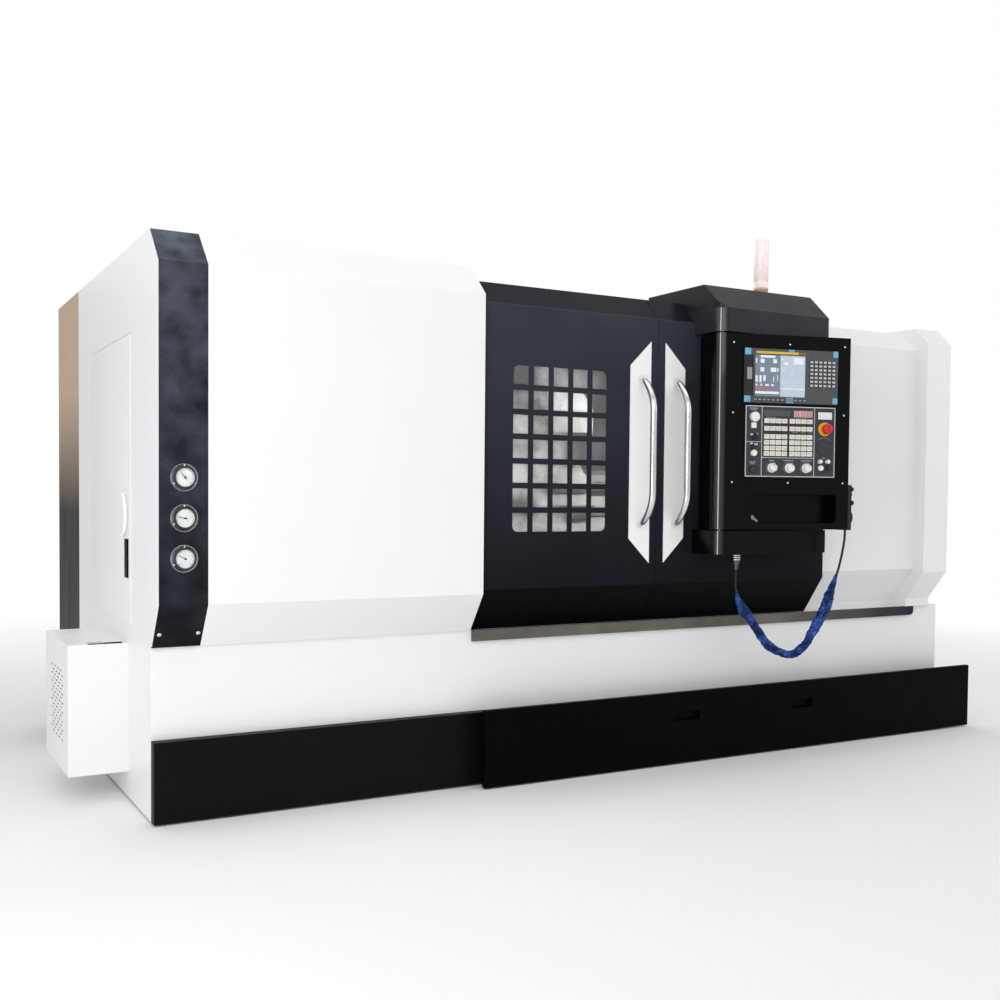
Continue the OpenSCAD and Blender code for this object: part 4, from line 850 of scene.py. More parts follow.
class LATHE_OT_cord(bpy.types.Operator):
    """Makes the handwheel's cord and the crinkled film round it"""

    bl_idname = "lathe.cord"
    bl_label = "Cord and film"

    def execute(self, context):
        width = context.scene.lathe_sizes.cord_width
        route = [at(*p) for p in CORD_ROUTE] + [on_panel(*CORD_END).to_translation()]
        line = smooth_line(route, CORD_STEPS)
        bm = bmesh.new()
        add_tube(bm, line, lambda i, angle: width / 2, sides=12)
        cord = make_piece("panel_cord", bm, cord_rubber())
        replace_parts(cord, "handwheel_cord")
        wrapped = [route[FILM_FROM - 1].lerp(route[FILM_FROM], 0.25), *route[FILM_FROM:FILM_TO + 1],
                   route[FILM_TO].lerp(route[FILM_TO + 1], 0.4)]
        film = self.film(smooth_line(wrapped, FILM_STEPS))
        for piece in (cord, film):
            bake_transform(piece)
        return {"FINISHED"}

    def film(self, line):
        """Film wound loosely round the cord: lumps, folds and thin ends."""
        last = len(FILM_WIDTHS) - 1

        def reach(i, angle):
            share = i / (len(line) - 1) * last
            n = min(int(share), last - 1)
            base = (FILM_WIDTHS[n] + (FILM_WIDTHS[n + 1] - FILM_WIDTHS[n]) * (share - n)) * MM
            seat = Vector((math.cos(angle) * 1.1, math.sin(angle) * 1.1, i * 0.11))
            lump = noise.noise(seat * 0.9 + Vector((3.1, 0, 7.7)))
            fold = abs(noise.noise(seat * 2.6 + Vector((0, 9.2, 1.3))))
            crease = abs(noise.noise(seat * 6.1 + Vector((5.5, 2.0, 0))))
            loose = 0.92 + 0.34 * lump + 0.42 * (fold - 0.25) + 0.16 * (crease - 0.25)
            return max(base * loose, FILM_LEAST * MM)

        bm = bmesh.new()
        add_tube(bm, line, reach, sides=36)
        made = make_piece("cord_film", bm, film_sheet(), sharp=FILM_SHARP_ANGLE)
        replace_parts(made, "cord_sleeve")
        return made


# ------------------------------------------------------------------ finishes of the frame


class LATHE_OT_finishes(bpy.types.Operator):
    """Gives every solid of the frame its finish"""

    bl_idname = "lathe.finishes"
    bl_label = "Finishes"

    def execute(self, context):
        table = {
            white_paint(): "base_apron headstock_cover left_end_cover roof_panel rear_cover right_end_cover "
                           "vented_box side_door side_door_handle",
            lit_plate_paint(): "left_handle_plate right_handle_plate",
            coat("recess_sheet_paint", paints().recess, gloss=0.34, cloud=0.02, dust=0.03, smear=0.1):
                "recess_panel",
            door_paint(): "left_door_panel right_door_panel",
            hood_paint(): "pod_hood",
            pod_paint(): "pod_foot panel_case",
            slate_paint(): "gauge_column spindle_motor",
            cabinet_paint(): "electrical_cabinet cabinet_door",
            black_paint(): "left_kick_plate feed_motor",
            tank_paint(): "coolant_tank",
            coat("casting_paint", (0.4, 0.41, 0.4), gloss=0.4, cloud=0.08, dust=0.1, smear=0.1, peel=1.2,
                 bump=0.5): "bed_casting headstock saddle cross_slide tailstock",
            metal("machined_steel", (0.5, 0.5, 0.5), lines=(500.0, 30.0, 30.0), gloss=0.25):
                "guide_rails feed_screw spindle chuck motor_pulley quill",
            metal("blackened_tool_steel", (0.05, 0.05, 0.052), gloss=0.3, stain=0.5):
                "turret jaw_1 jaw_2 jaw_3",
            metal("guard_steel", (0.6, 0.6, 0.59), lines=(400.0, 60.0, 4.0), gloss=0.22, stain=0.9):
                "splash_guard",
            sill_steel(): "sill_strip",
            steel(): "levelling_feet cover_screws",
            metal("connector_dark_metal", (0.16, 0.16, 0.16), lines=(300.0, 300.0, 300.0), gloss=0.18,
                  stain=0.9, bump=0.4): "cord_connector",
            polished(): "left_handle right_handle pressure_gauges",
            plastic("belt_rubber", (0.014, 0.014, 0.014), gloss=0.6, grain=500.0): "drive_belt",
            window_sheet(): "window_pane",
            plastic("operator_plate_slate", (0.03, 0.034, 0.044), gloss=0.45, grain=1400.0): "operator_panel",
            black_plastic(): "screen_unit handwheel_unit handwheel",
            pale_plastic(): "feed_knob rapid_knob speed_knob",
            plastic("stop_red", (0.62, 0.018, 0.014), gloss=0.28): "stop_button",
            plastic("lens_base_pink", (0.9, 0.7, 0.66), gloss=0.2): "signal_light",
            cord_rubber(): "handwheel_cord cord_sleeve",
        }
        looks = {name: material for material, names in table.items() for name in names.split()}
        missing = set(NODES) - set(looks)
        if missing:
            raise RuntimeError(f"no finish for {sorted(missing)}")
        for name, material in looks.items():
            slots = NODES[name].data.materials
            slots.clear()
            slots.append(material)
        return {"FINISHED"}


# ------------------------------------------------------------------ gauges and screws


# Heights of the three gauges, and the angles at which their needles stand
GAUGE_SPOT = (75, -110)
GAUGE_HEIGHTS = (837, 961, 1085)
NEEDLE_ANGLES = (62, 76, 42)
GAUGE_FLANGE = ((0, -70), (7, -70), (7, -45), (30, -45), (30, 0), (42.5, 0), (42.5, 2.6), (41.6, 3.8),
                (36.4, 4.4), (35, 5.4), (0, 5.4))
GAUGE_RIM = ((41.4, 2.4), (42.8, 2.4), (42.8, 3.2), (42.0, 4.4), (41.2, 4.4), (41, 3.6))
GAUGE_DRUM = ((0, 5), (40.2, 5), (34, 14), (33.4, 16.5), (28.6, 16.5), (28.6, 14.8), (0, 14.8))
GAUGE_BEZEL = ((28.5, 15), (33.6, 15.6), (34.4, 17), (34.4, 20), (33.4, 21.6), (31, 22), (29, 21), (28.4, 19))
GAUGE_DIAL = ((0, 14.9), (28.5, 14.9), (28.5, 15.5), (0, 15.5))
GAUGE_GLASS = ((0, 18.6), (28.6, 18.4), (28.6, 19), (0, 19.2))
MARK_LEVEL = 15.55
MARK_SWEEP = 270
NEEDLE_HUB = ((0, 15.4), (3, 15.4), (3, 17.6), (2.4, 18.2), (0, 18.2))
NEEDLE_OUTLINE = ((-1.5, -6), (1.5, -6), (0.7, 22), (-0.7, 22))
NEEDLE_LEVELS = (16.6, 17.2)
FLANGE_SCREW = (0, 38.6 * MM, 7.2 * MM)
# The column's lower slope: its foot, its run to the front, its rise, and where on it the screws are
SLOPE_FOOT = (-14, 555)
SLOPE_RUN, SLOPE_RISE = 96, 138
SLOPE_SHARE = 0.33


class LATHE_OT_gauges(bpy.types.Operator):
    """Makes the three pressure gauges with dials, needles and glasses"""

    bl_idname = "lathe.gauges"
    bl_label = "Pressure gauges"

    def execute(self, context):
        seats = [Matrix.Translation(at(*GAUGE_SPOT, z)) @ TO_FRONT for z in GAUGE_HEIGHTS]
        even = (60.0, 60.0, 60.0)
        chrome = metal("gauge_chrome", (0.95, 0.95, 0.95), lines=even, gloss=0.07, stain=0.15)
        dark = metal("gauge_dark_chrome", (0.085, 0.085, 0.09), lines=even, gloss=0.14, stain=0.8)
        flanges = turned_copies("gauge_flanges", GAUGE_FLANGE, seats, dark)
        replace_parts(flanges, "pressure_gauges")
        turned_copies("gauge_rims", GAUGE_RIM, seats, chrome, ring=True)
        turned_copies("gauge_drums", GAUGE_DRUM, seats, chrome)
        turned_copies("gauge_bezels", GAUGE_BEZEL, seats, dark, ring=True)
        turned_copies("gauge_dials", GAUGE_DIAL, seats, ink("dial_white", (0.96, 0.97, 0.98), gloss=0.3),
                      sharp=None)
        dial_ink = ink("dial_ink", (0.03, 0.03, 0.035), gloss=0.45)
        count = context.scene.lathe_sizes.dial_marks
        for label, number, radius, mark in (("fine", count, 25.5, (0.45, 2.6, 0.12)),
                                            ("main", count // 5 + 1, 24.6, (1.0, 4.4, 0.14))):
            bm = bmesh.new()
            bm.from_mesh(marks_mesh("dial_marks_" + label, number, radius, MARK_SWEEP, mark, dial_ink))
            bmesh.ops.translate(bm, verts=bm.verts, vec=(0, 0, MARK_LEVEL * MM))
            place_copies("gauge_marks_" + label, bm, seats, dial_ink, "machine", sharp=None)
        turned = [seat @ spun(angle) for seat, angle in zip(seats, NEEDLE_ANGLES)]
        place_copies("gauge_needles", self.needle(), turned, dial_ink, "machine", sharp=None)
        turned_copies("gauge_glasses", GAUGE_GLASS, seats, gauge_glass(), sides=48)
        spots = [seat @ spun(angle) @ Matrix.Translation(FLANGE_SCREW) for seat in seats
                 for angle in (0, 120, 240)]
        place_copies("gauge_screws", screw_form(6 * MM, 2.6 * MM), spots, polished(), "machine")
        return {"FINISHED"}

    def needle(self):
        """A flat needle on its hub, pointing along y."""
        bm = bmesh.new()
        add_turned(bm, NEEDLE_HUB, sides=20)
        low, high = ([bm.verts.new(Vector((x, y, z)) * MM) for x, y in NEEDLE_OUTLINE] for z in NEEDLE_LEVELS)
        bm.faces.new(low)
        bm.faces.new(high)
        join_loops(bm, low, high)
        return bm


class LATHE_OT_sheet_screws(bpy.types.Operator):
    """Makes the screws of the gauge column and of the left kick plate"""

    bl_idname = "lathe.sheet_screws"
    bl_label = "Sheet screws"

    def execute(self, context):
        lean = Matrix.Rotation(math.radians(90) + math.atan2(SLOPE_RUN, SLOPE_RISE), 4, "X")
        y, z = SLOPE_FOOT[0] - SLOPE_SHARE * SLOPE_RUN, SLOPE_FOOT[1] + SLOPE_SHARE * SLOPE_RISE
        spots = [Matrix.Translation(at(x, y, z)) @ lean for x in (15, 135)]
        bright = place_copies("column_screws", screw_form(15 * MM, 5 * MM), spots, polished(), "machine")
        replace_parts(bright, "cover_screws")
        spots = [Matrix.Translation(at(x, -40, z)) @ TO_FRONT for x in (60, 564, 1088) for z in (36, 248)]
        place_copies("kick_plate_screws", screw_form(13 * MM, 4 * MM), spots, black_paint(), "machine")
        return {"FINISHED"}


# ------------------------------------------------------------------ swivel panel


# Depths of the case's face, the operator plate's face, the screen unit's face and its display
FACE = -45.0
PLATE = -51.0
SCREEN = -53.0
DISPLAY = -51.05
DISPLAY_DRAWN = -51.55
KEY_TOP = SCREEN - 2

SCREEN_FRAME = ((65.4, 1401.4, 397.2, 24.2), (65.4, 1584.4, 397.2, 22.2), (103.4, 1425.6, 7.4, 158.8),
                (323.2, 1425.6, 139.4, 158.8))
DISPLAY_BLOCKS = (
    (133, 1573, 62, 9), (113, 1552, 5, 18), (133, 1553, 17, 15), (186, 1553, 16, 15), (133, 1520, 16, 16),
    (176, 1520, 24, 16), (204, 1521, 5, 14), (113, 1480, 9, 25), (129, 1480, 9, 25), (146, 1484, 9, 22),
    (188, 1480, 3, 22), (204, 1486, 3, 22), (114, 1466, 7, 7), (134, 1466, 7, 7), (154, 1466, 16, 7),
    (178, 1466, 12, 7), (112, 1436, 100, 9), (218, 1455, 103, 4), (275, 1552, 42, 24), (230, 1548, 20, 9),
    (222, 1566, 6, 6))
SCREEN_TABS = ((67, 1582, 25, 25), (441, 1583, 21, 24), (66, 1403, 25, 24), (441, 1404, 21, 23),
               (250, 1598, 25, 8), (242, 1403, 30, 20))
KEY_BLOCKS = (162, 269)
KEY_ROWS = (1208.5, 1229.5, 1251.5, 1273.5, 1304.5, 1333.5)
KEY_STEP = 25
PLATE_LINES = ((75, 1120, 381, 3.2), (75, 1386.8, 381, 3.2), (75, 1123.2, 3.2, 263.6),
               (452.8, 1123.2, 3.2, 263.6), (142, 1123.2, 2.6, 263.6), (365, 1123.2, 2.6, 263.6),
               (144.6, 1192, 220.4, 2.4), (78.2, 1252, 63.8, 2.0))
PLATE_LEGENDS = ((90, 1378, 36, 4), (95, 1372, 26, 3), (175, 1180, 22, 4), (236, 1181, 44, 4),
                 (310, 1181, 46, 4), (95, 1174, 24, 3.5), (98, 1167, 18, 3.5), (402, 1193, 12, 4),
                 (160, 1346, 40, 2), (280, 1346, 60, 2), (272, 1290, 26, 2.2), (308, 1290, 20, 2.2),
                 (338, 1290, 22, 2.2))
CAP_FORM = ((0, 0), (10.4, 0), (10.4, 7), (9.5, 8.4), (0, 9))
KNOB_FORM = ((0, 0.4), (18.4, 0.4), (18.5, 2.6), (17.4, 4.4), (15.2, 5.4), (14.6, 18.5), (13, 21), (9, 22.2),
             (0, 22.4))
KNOB_STEM = ((0, -19.5), (5.9, -19.5), (5.9, 1), (0, 1))
KNOBS = (("feed_knob", 187), ("rapid_knob", 261), ("speed_knob", 333))
KNOB_HEIGHT = 1154
OVERRIDE_SPOT = (411, 1237)
STOP_SPOT = (409, 1306)
STOP_COLLAR = ((11.6, 6.2), (26.3, 6.2), (26.3, 6.2), (26.3, 0), (26.6, 0), (26.6, 5.6), (25.6, 7.2),
               (20, 7.6), (12, 7.6))
STOP_HEAD = ((0, -4), (10.9, -4), (10.9, 17.8), (18.6, 17.8), (20.6, 19.6), (21, 23), (20.6, 28),
             (18.6, 32.4), (14, 35), (7, 36), (0, 36.2))
CASE_SCREWS = ((24.5, 1627), (260, 1627), (496, 1627), (24.5, 1362), (496, 1362), (24.5, 1098), (260, 1098),
               (496, 1098))
# The handwheel unit's right face, on which the handwheel and small knobs sit
UNIT_SIDE = 553.3
UNIT_KNOBS = ((-14, 1076), (2, 1050), (-16, 1022), (20, 1024))
BOLT_FORM = ((0, 0), (8, 0), (9.5, 1.5), (9.5, 13), (8, 14.5), (6.5, 15), (6.5, 34), (5, 36), (0, 36))
WHEEL_FORM = ((0, 0.1), (27.6, 0.1), (27.9, 3), (26.6, 4.2), (26.4, 10), (24.8, 11.6), (12, 12), (0, 11.8))
WHEEL_GRIP = ((0, 11), (3.9, 11), (3.9, 16), (3, 17), (0, 17))
WHEEL_RIBS = 28


def key_form(*boxes, edge=0.0, rounds=2):
    """A small form of (centre, size) boxes, standing on its own origin."""
    bm = bmesh.new()
    for centre, size in boxes:
        add_box(bm, centre, size, edge=edge, rounds=rounds)
    return bm


class LATHE_OT_screen(bpy.types.Operator):
    """Makes the lit display, its frame, keys and tabs"""

    bl_idname = "lathe.screen"
    bl_label = "Screen"

    def execute(self, context):
        for name, depth, thick, look, boxes in (
                ("screen_frame", SCREEN, 0.6, plastic("screen_frame_grey", (0.075, 0.078, 0.082), gloss=0.3),
                 SCREEN_FRAME),
                ("display_field", DISPLAY, 0.5, glowing("display_lit_blue", (0.15, 0.18, 0.22), 0.4),
                 [(111.2, 1426.2, 105, 157.6)]),
                # The display's right half is lit and pale, and made paler still as a painted reflection of a
                # glare on it
                ("display_side", DISPLAY, 0.5, glowing("display_lit_pale_and_painted_glare", (0.4, 0.45, 0.52), 0.45),
                 [(217, 1426.2, 105.8, 157.6)]),
                ("display_blocks", DISPLAY_DRAWN, 0.3, glowing("display_lit_white", (0.6, 0.66, 0.74), 0.4),
                 DISPLAY_BLOCKS),
                ("display_red_line", DISPLAY_DRAWN, 0.32, glowing("display_lit_red", (0.5, 0.09, 0.11), 0.35),
                 [(112, 1453, 74, 6)]),
                ("screen_strip", SCREEN - 0.6, 0.4,
                 plastic("screen_strip_yellow", (0.75, 0.5, 0.05), gloss=0.35), [(114, 1588, 178, 9)]),
                ("screen_strip_end", SCREEN - 0.6, 0.4, plastic("screen_strip_olive", (0.2, 0.16, 0.04)),
                 [(293, 1588, 31, 9)]),
                ("screen_tabs", SCREEN - 0.7, 0.5, plastic("screen_tab_blue", (0.16, 0.45, 0.66), gloss=0.35),
                 SCREEN_TABS)):
            flat_pieces(name, depth, thick, look, boxes)
        flat_pieces("card_door", SCREEN + 3.2, 3.4, plastic("card_door_grey", (0.33, 0.33, 0.34), gloss=0.32),
                    [(76.6, 1488, 22, 47)], edge=2.0)
        spots = [facing(348.5 + 19 * i, KEY_TOP, 1472.5 + 15 * j) for i in range(6) for j in range(7)]
        # The screen keys' caps are pale: a painted highlight standing in for the glints on the dark keys
        place_copies("screen_keys", key_form(((0, 0, 0.7), (12, 8, 1.4)), edge=0.6), spots,
                     plastic("key_painted_glint", (0.58, 0.6, 0.62), gloss=0.2))
        spots = [facing(110.5 + 19 * i, KEY_TOP, 1413.5) for i in range(12)]
        place_copies("soft_keys", key_form(((0, 0, 0.5), (12, 6, 1.0)), edge=0.45), spots,
                     plastic("soft_key_grey", (0.3, 0.3, 0.31), gloss=0.3))
        return {"FINISHED"}


class LATHE_OT_operator_keys(bpy.types.Operator):
    """Makes the keycaps, printed lines, displays and switches of the operator panel"""

    bl_idname = "lathe.operator_keys"
    bl_label = "Operator panel"

    def execute(self, context):
        spots = [facing(s + KEY_STEP * i, PLATE - 4, z)
                 for s in KEY_BLOCKS for i in range(4) for z in KEY_ROWS]
        place_copies("keycaps", key_form(((0, 0, 0.5), (22.6, 17.6, 2.6)), edge=1.1, rounds=3), spots,
                     plastic("keycap_cream", paints().key, gloss=0.35))
        dashes = key_form(((-3, 2.6, 1.85), (9, 1.5, 0.14)), ((2, -1.2, 1.85), (12, 1.2, 0.14)))
        place_copies("keycap_dashes", dashes, spots, ink("keycap_ink", (0.3, 0.28, 0.25)), sharp=None)
        flat_pieces("plate_lines", PLATE, 0.3, pale_print(), PLATE_LINES)
        flat_pieces("plate_legends", PLATE, 0.2, ink("plate_legend_grey", (0.3, 0.31, 0.33)), PLATE_LEGENDS)
        flat_pieces("plate_label", PLATE, 0.4, plastic("plate_label_grey", (0.075, 0.08, 0.095), gloss=0.35),
                    [(152, 1352, 112, 22)], edge=0.15)
        self.displays()
        self.switches()
        self.knobs()
        self.stop()
        return {"FINISHED"}

    def displays(self):
        flat_pieces("count_display", PLATE, 2.3, plastic("count_display_pale", (0.55, 0.45, 0.46), gloss=0.2),
                    [(277.7, 1349.7, 78.6, 24.6)], edge=0.4)
        z, width, half, bar = 1353, 16, 8.2, 2.4
        tall = 2 * half + 2.4
        digits = []
        for s in (283, 308, 333):
            digits += [(s, z, width, bar), (s, z + half, width, bar),
                       (s, z + 2 * half - bar + 2.4, width, bar), (s, z, bar, tall),
                       (s + width - bar, z, bar, tall)]
        flat_pieces("count_digits", PLATE - 2.3, 0.2, glowing("count_digits_red", (0.62, 0.06, 0.09), 0.25),
                    digits)
        flat_pieces("plate_window", PLATE, 2.4, plastic("plate_window_white", (0.86, 0.86, 0.85), gloss=0.2),
                    [(381.6, 1343.6, 58.8, 27.8)], edge=0.5)

    def switches(self):
        white, dark = pale_plastic(), black_plastic()
        slate = plastic("override_slate", (0.03, 0.032, 0.04))
        for name, look, sides, spots, form in (
                ("power_knob", white, 40, [(110, 1347)],
                 ((0, 0), (18.4, 0), (18.4, 13.4), (17.2, 14.9), (14, 15.3), (0, 15.5))),
                ("key_switches", white, 28, [(391, 1181), (424, 1181)],
                 ((0, 0), (8.4, 0), (8.4, 9.5), (7.4, 12), (4.5, 13), (0, 13.2))),
                ("mode_cap", white, 40, [(110, 1210)],
                 ((0, 0), (12.4, 0), (12.4, 6.6), (11.6, 8.2), (9, 8.8), (0, 9))),
                ("light_cap", white, 32, [(395, 1156)], CAP_FORM),
                ("dark_cap", dark, 32, [(430, 1158)], CAP_FORM),
                ("buzzer_cap", dark, 40, [(108, 1148)],
                 ((0, 0), (15.4, 0), (15.4, 4.6), (14, 6.4), (11, 6.6), (10.4, 5), (0, 4.8))),
                ("override_disc", slate, 56, [OVERRIDE_SPOT],
                 ((0, 0), (31.2, 0), (31.2, 2.6), (30.4, 3.4), (0, 3.6)))):
            turned_piece(name, form, [facing(s, PLATE, z) for s, z in spots], look, sides=sides)
        flat_pieces("memory_window", PLATE, 6.4, white, [(97.6, 1304.6, 20.8, 20.8)], edge=1.5)
        flat_pieces("selector_lever", PLATE, 10.4, dark,
                    [(101.6, 1258.6, 22.8, 16.8), (110, 1264, 8, 20, 13)], edge=1.2)
        flat_pieces("selector_plate", PLATE, 0.6, pale_print(),
                    [(96, 1276, 11, 8), (118, 1280, 9, 6), (95, 1242, 12, 7), (112, 1240, 15, 6)])
        flat_pieces("rocker", PLATE, 6.5, dark, [(98.6, 1224.6, 16.8, 10.8), (103, 1226, 6, 18, 8)], edge=1.0)

    def knobs(self):
        for name, s in KNOBS:
            seat = facing(s, PLATE, KNOB_HEIGHT)
            bm = bmesh.new()
            add_turned(bm, KNOB_FORM, seat, sides=48)
            add_turned(bm, KNOB_STEM, seat, sides=20)
            add_box(bm, (0, 9.2, 13), (5.4, 17.4, 20), seat, edge=1.2)
            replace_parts(make_piece(name + "_cap", bm, pale_plastic(), name), name)
            bm = bmesh.new()
            add_box(bm, (0, 12, 23.1), (1.6, 11, 0.3), seat)
            make_piece(name + "_pointer", bm, black_plastic(), name)
            arc_marks(name + "_scale", 13, 23.5, 250, (1.2, 4.2, 0.3), pale_print(),
                      seat @ Matrix.Translation((0, 0, 0.15 * MM)))
        s, z = OVERRIDE_SPOT
        arc_marks("override_scale", 9, 36, 80, (1.4, 3.4, 0.3), pale_print(), facing(s, PLATE - 0.15, z))

    def stop(self):
        seats = [facing(STOP_SPOT[0], PLATE, STOP_SPOT[1])]
        turned_piece("stop_collar", STOP_COLLAR, seats, plastic("stop_yellow", (0.8, 0.5, 0.03), gloss=0.3),
                     sides=48)
        red = plastic("stop_red", (0.66, 0.02, 0.014), gloss=0.24)
        made = turned_piece("stop_mushroom", STOP_HEAD, seats, red, "stop_button", 48)
        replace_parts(made, "stop_button")


class LATHE_OT_panel_fittings(bpy.types.Operator):
    """Makes the case's screws, the pocket's bolt, the handwheel, small knobs and the connector's rings"""

    bl_idname = "lathe.panel_fittings"
    bl_label = "Panel fittings"

    def execute(self, context):
        width = context.scene.lathe_sizes.screw_width
        spots = [facing(s, FACE, z) for s, z in CASE_SCREWS]
        place_copies("case_screws", screw_form(width, 3.5 * MM), spots, polished())
        lean = on_panel(108, FACE + 9, 969) @ Matrix.Rotation(math.radians(126), 4, "Y")
        turned_piece("pocket_bolt", BOLT_FORM, [lean],
                     metal("bolt_dull_steel", (0.3, 0.28, 0.25), gloss=0.35, stain=0.5), sides=24)
        self.handwheel()
        turned_piece("handwheel_unit_knobs", ((0, 0), (11, 0), (11, 2), (9, 3), (8.4, 8), (7, 9), (0, 9)),
                     [on_panel(UNIT_SIDE, y, z) @ TO_RIGHT for y, z in UNIT_KNOBS], black_plastic(), sides=24)
        self.connector()
        return {"FINISHED"}

    def connector(self):
        low, high = (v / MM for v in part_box("cord_connector"))
        wide = (high.x - low.x) / 2
        spots = [Matrix.Translation(Vector(((low.x + high.x) / 2, (low.y + high.y) / 2, high.z - d)) * MM)
                 for d in (9, 17, 25)]
        form = [(wide + out, up)
                for out, up in ((-2, 0), (0.4, 0), (0.9, 1.2), (0.9, 2.8), (0.4, 4), (-2, 4))]
        turned_copies("connector_rings", form, spots, polished(), "right_door", sides=32, ring=True)

    def handwheel(self):
        seat = on_panel(UNIT_SIDE, 12.5, 965) @ TO_RIGHT
        bm = bmesh.new()
        add_turned(bm, WHEEL_FORM, seat, sides=56)
        for a in circle(WHEEL_RIBS):
            add_box(bm, (27 * math.cos(a), 27 * math.sin(a), 7), (1.6, 2.2, 5), seat)
        add_turned(bm, WHEEL_GRIP, seat @ Matrix.Translation((18 * MM, 0, 0)), sides=16)
        made = make_piece("handwheel_dial", bm, black_plastic(), "handwheel")
        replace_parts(made, "handwheel")


# ------------------------------------------------------------------ signal light, access door


LIGHT_SPOT = (2432, -40, 1855)
LIGHT_LENS = ((0, 30), (28, 30), (29, 31), (29, 60), (28.4, 61), (28.4, 63), (29, 64), (29, 228), (27.6, 233),
              (23, 235.6), (0, 236))
LIGHT_FOOT = ((0, 0), (33, 0), (33, 5), (31.5, 7), (28.4, 8), (28.4, 29.5), (0, 29.5))
LIGHT_RING = ((27, 29.4), (29.4, 29.4), (29.6, 31), (29.6, 37), (29.3, 38), (28.9, 38))
# The access door's curved pull: the middle of its bow, the bow's radius, and half the bar's width
PULL_SPOT = (-15, 379, 962)
PULL_BOW = 72
PULL_BAR = 5.5


class LATHE_OT_signal_light(bpy.types.Operator):
    """Makes the signal light with its pink lens, foot and ring"""

    bl_idname = "lathe.signal_light"
    bl_label = "Signal light"

    def execute(self, context):
        seats = [Matrix.Translation(at(*LIGHT_SPOT))]
        lens = plastic("lens_pink", (0.97, 0.84, 0.82), gloss=0.12, Emission_Color=(1.0, 0.86, 0.84, 1.0),
                       Emission_Strength=0.16)
        made = turned_piece("signal_lens", LIGHT_LENS, seats, lens, "right_door", 48)
        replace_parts(made, "signal_light")
        salmon = plastic("light_foot_salmon", (0.62, 0.3, 0.24), gloss=0.35)
        turned_piece("signal_foot", LIGHT_FOOT, seats, salmon, "right_door", 48)
        amber = plastic("light_ring_amber", (0.85, 0.66, 0.42), gloss=0.3)
        turned_piece("signal_ring", LIGHT_RING, seats, amber, "right_door", 48)
        return {"FINISHED"}


class LATHE_OT_side_door(bpy.types.Operator):
    """Makes the access door's folded skin, its pull and lock plate, and the box's hinges: a steel leaf, and
    black strips under their front edges as painted shadow
    """

    bl_idname = "lathe.side_door"
    bl_label = "Access door"

    def execute(self, context):
        low, high = (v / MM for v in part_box("side_door"))
        size = (4.6, high.y - low.y - 6, high.z - low.z)
        bm = bmesh.new()
        middle = (low.x - 2.2, low.y - 2 + size[1] / 2, (low.z + high.z) / 2 - 2)
        add_box(bm, middle, size, edge=1.8, rounds=3)
        make_piece("side_door_skin", bm, white_paint(), "access_door")
        self.pull()
        box_piece("side_lock_plate", [((-6.5, 334, 817), (5, 48, 130), 1.5)], tank_paint(), "access_door")
        # Black strips under the hinges' front edges: painted shadow
        leaf_shadows = [((-105, 336.6, 533), (50, 1, 2.6), 0), ((-50, 336.6, 534.4), (60, 1, 5), 0)]
        box_piece("hinge_leaf_edges", leaf_shadows, black_paint(), "machine")
        box_piece("hinge_leaf_steel", [((-105, 360, 534), (49, 45, 0.6), 0)], steel(), "machine")
        return {"FINISHED"}

    def pull(self):
        """A bowed bar whose two feet go into the door."""
        x, y, z = PULL_SPOT
        bow = [at(x, y + PULL_BOW * math.cos(a), z + PULL_BOW * math.sin(a))
               for a in (math.radians(d) for d in range(105, 256, 10))]
        feet = [Vector((12 * MM, 0, 0)), Vector((6 * MM, 0, 0))]
        line = [bow[0] + v for v in feet] + bow + [bow[-1] + v for v in reversed(feet)]
        bm = bmesh.new()
        add_tube(bm, smooth_line(line, 3), lambda i, angle: PULL_BAR * MM, sides=16)
        made = make_piece("side_door_pull", bm, lit_plate_paint(), "access_door")
        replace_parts(made, "side_door_handle")


# ------------------------------------------------------------------ stage


# Lamps: place and aim from the machine's corner in millimetres, size in metres, power in watts
LAMPS = (
    ("overhead_softbox", (1500, -600, 6200), (1700, 500, 0), (8.0, 6.0), 98.0),
    ("front_softbox", (-600, -5600, 3600), (1500, 0, 900), (5.0, 3.0), 43.0),
    ("left_strip_light", (-1990, -2380, 1500), (2094, -254, 1400), (0.8, 3.0), 46.0),
    ("right_softbox", (7600, -3000, 3200), (3400, 300, 900), (4.0, 3.0), 30.0),
    ("rear_softbox", (1700, 6600, 4200), (1700, 1300, 900), (6.0, 3.0), 80.0),
    ("work_area_lamp", (1900, 200, 1660), (1900, 500, 900), (1.2, 0.12), 12.0),
)
# Light of the surroundings, which the camera sees as white
SURROUNDINGS = 0.62
WHITE = (1.0, 1.0, 1.0, 1.0)
FLOOR_HALF = 40.0
FLOOR_LEVEL = -0.0005
# Distances from the middle between which the floor fades to the white backdrop
FADE = (3.2, 6.0)


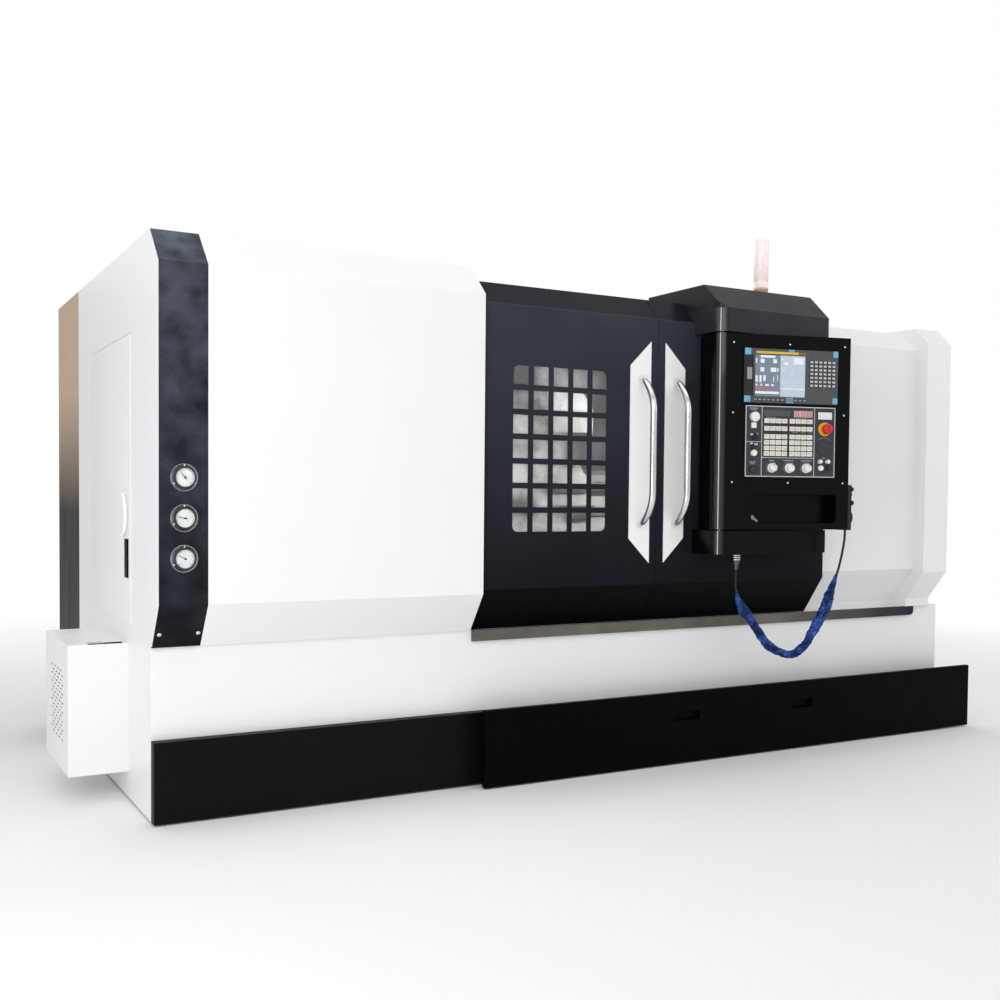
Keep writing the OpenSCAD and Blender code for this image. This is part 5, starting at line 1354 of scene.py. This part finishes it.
class LATHE_OT_stage(bpy.types.Operator):
    """Makes the pale floor, the soft lamps and the plain surroundings"""

    bl_idname = "lathe.stage"
    bl_label = "Stage"

    def execute(self, context):
        scene = context.scene
        scene.view_settings.view_transform = "Standard"
        bm = bmesh.new()
        h = FLOOR_HALF
        bm.faces.new([bm.verts.new((x, y, FLOOR_LEVEL)) for x, y in ((-h, -h), (h, -h), (h, h), (-h, h))])
        make_piece("pale_floor", bm, self.floor_paint(), sharp=None)
        for lamp in LAMPS:
            self.lamp(*lamp)
        scene.world = bpy.data.worlds.new("plain_surroundings")
        scene.world.use_nodes = True
        k = Sketch(scene.world.node_tree)
        shown = k.tree.nodes["Background"].inputs
        k.feed(shown["Color"], WHITE)
        path = k.add("ShaderNodeLightPath").outputs
        seen = k.math("MAXIMUM", path["Is Camera Ray"], path["Is Transmission Ray"])
        k.feed(shown["Strength"], k.spread(seen, 0.0, 1.0, SURROUNDINGS, 1.0))
        return {"FINISHED"}

    def lamp(self, name, spot, aim, size, power):
        data = bpy.data.lights.new(name, "AREA")
        data.shape = "RECTANGLE"
        data.size, data.size_y = size
        data.energy = power
        made = add_object(name, data)
        made.location = at(*spot)
        made.rotation_euler = (at(*aim) - made.location).to_track_quat("-Z", "Y").to_euler()
        made.visible_camera = False

    def floor_paint(self):
        """Pale paint that fades to white far from the machine."""
        made, k, bsdf = new_material("pale_floor_paint")
        nodes = made.node_tree.nodes
        place = k.place()
        k.feed(bsdf["Base Color"], k.mixed(k.cloud(place, 0.4), (0.9, 0.9, 0.9), (0.93, 0.93, 0.93)))
        k.feed(bsdf["Roughness"], 0.9)
        k.feed(bsdf["Specular IOR Level"], 0.1)
        seen = k.add("ShaderNodeLightPath").outputs["Is Camera Ray"]
        faded = k.math("MULTIPLY", k.spread(k.vector("LENGTH", place), *FADE), seen)
        backdrop = k.add("ShaderNodeEmission", {"Color": WHITE, "Strength": 1.0}).outputs[0]
        shown = k.add("ShaderNodeMixShader", {0: faded, 1: nodes["Principled BSDF"].outputs[0], 2: backdrop})
        k.feed(nodes["Material Output"].inputs["Surface"], shown.outputs[0])
        return made


# ------------------------------------------------------------------ sidebar and order


class LATHE_PT_sidebar(bpy.types.Panel):
    """Lists the pieces that can be made"""

    bl_label = "Turning lathe"
    bl_idname = "LATHE_PT_sidebar"
    bl_space_type = "VIEW_3D"
    bl_region_type = "UI"
    bl_category = "Lathe"

    def draw(self, context):
        for settings in (context.scene.lathe_finishes, context.scene.lathe_sizes):
            for name in settings.__annotations__:
                self.layout.prop(settings, name)
        for maker in MAKERS:
            self.layout.operator(maker.bl_idname)


MAKERS = (LATHE_OT_camera, LATHE_OT_cord, LATHE_OT_finishes, LATHE_OT_gauges, LATHE_OT_sheet_screws,
          LATHE_OT_screen, LATHE_OT_operator_keys, LATHE_OT_panel_fittings, LATHE_OT_signal_light,
          LATHE_OT_side_door, LATHE_OT_stage)
CLASSES = (LatheFinishes, LatheSizes, *MAKERS, LATHE_PT_sidebar)


def register():
    for made in CLASSES:
        bpy.utils.register_class(made)
    bpy.types.Scene.lathe_finishes = bpy.props.PointerProperty(type=LatheFinishes)
    bpy.types.Scene.lathe_sizes = bpy.props.PointerProperty(type=LatheSizes)


def unregister():
    del bpy.types.Scene.lathe_sizes
    del bpy.types.Scene.lathe_finishes
    for made in reversed(CLASSES):
        bpy.utils.unregister_class(made)


def main():
    register()
    for maker in MAKERS:
        group, name = maker.bl_idname.split(".")
        getattr(getattr(bpy.ops, group), name)()


if __name__ == "__main__":
    main()
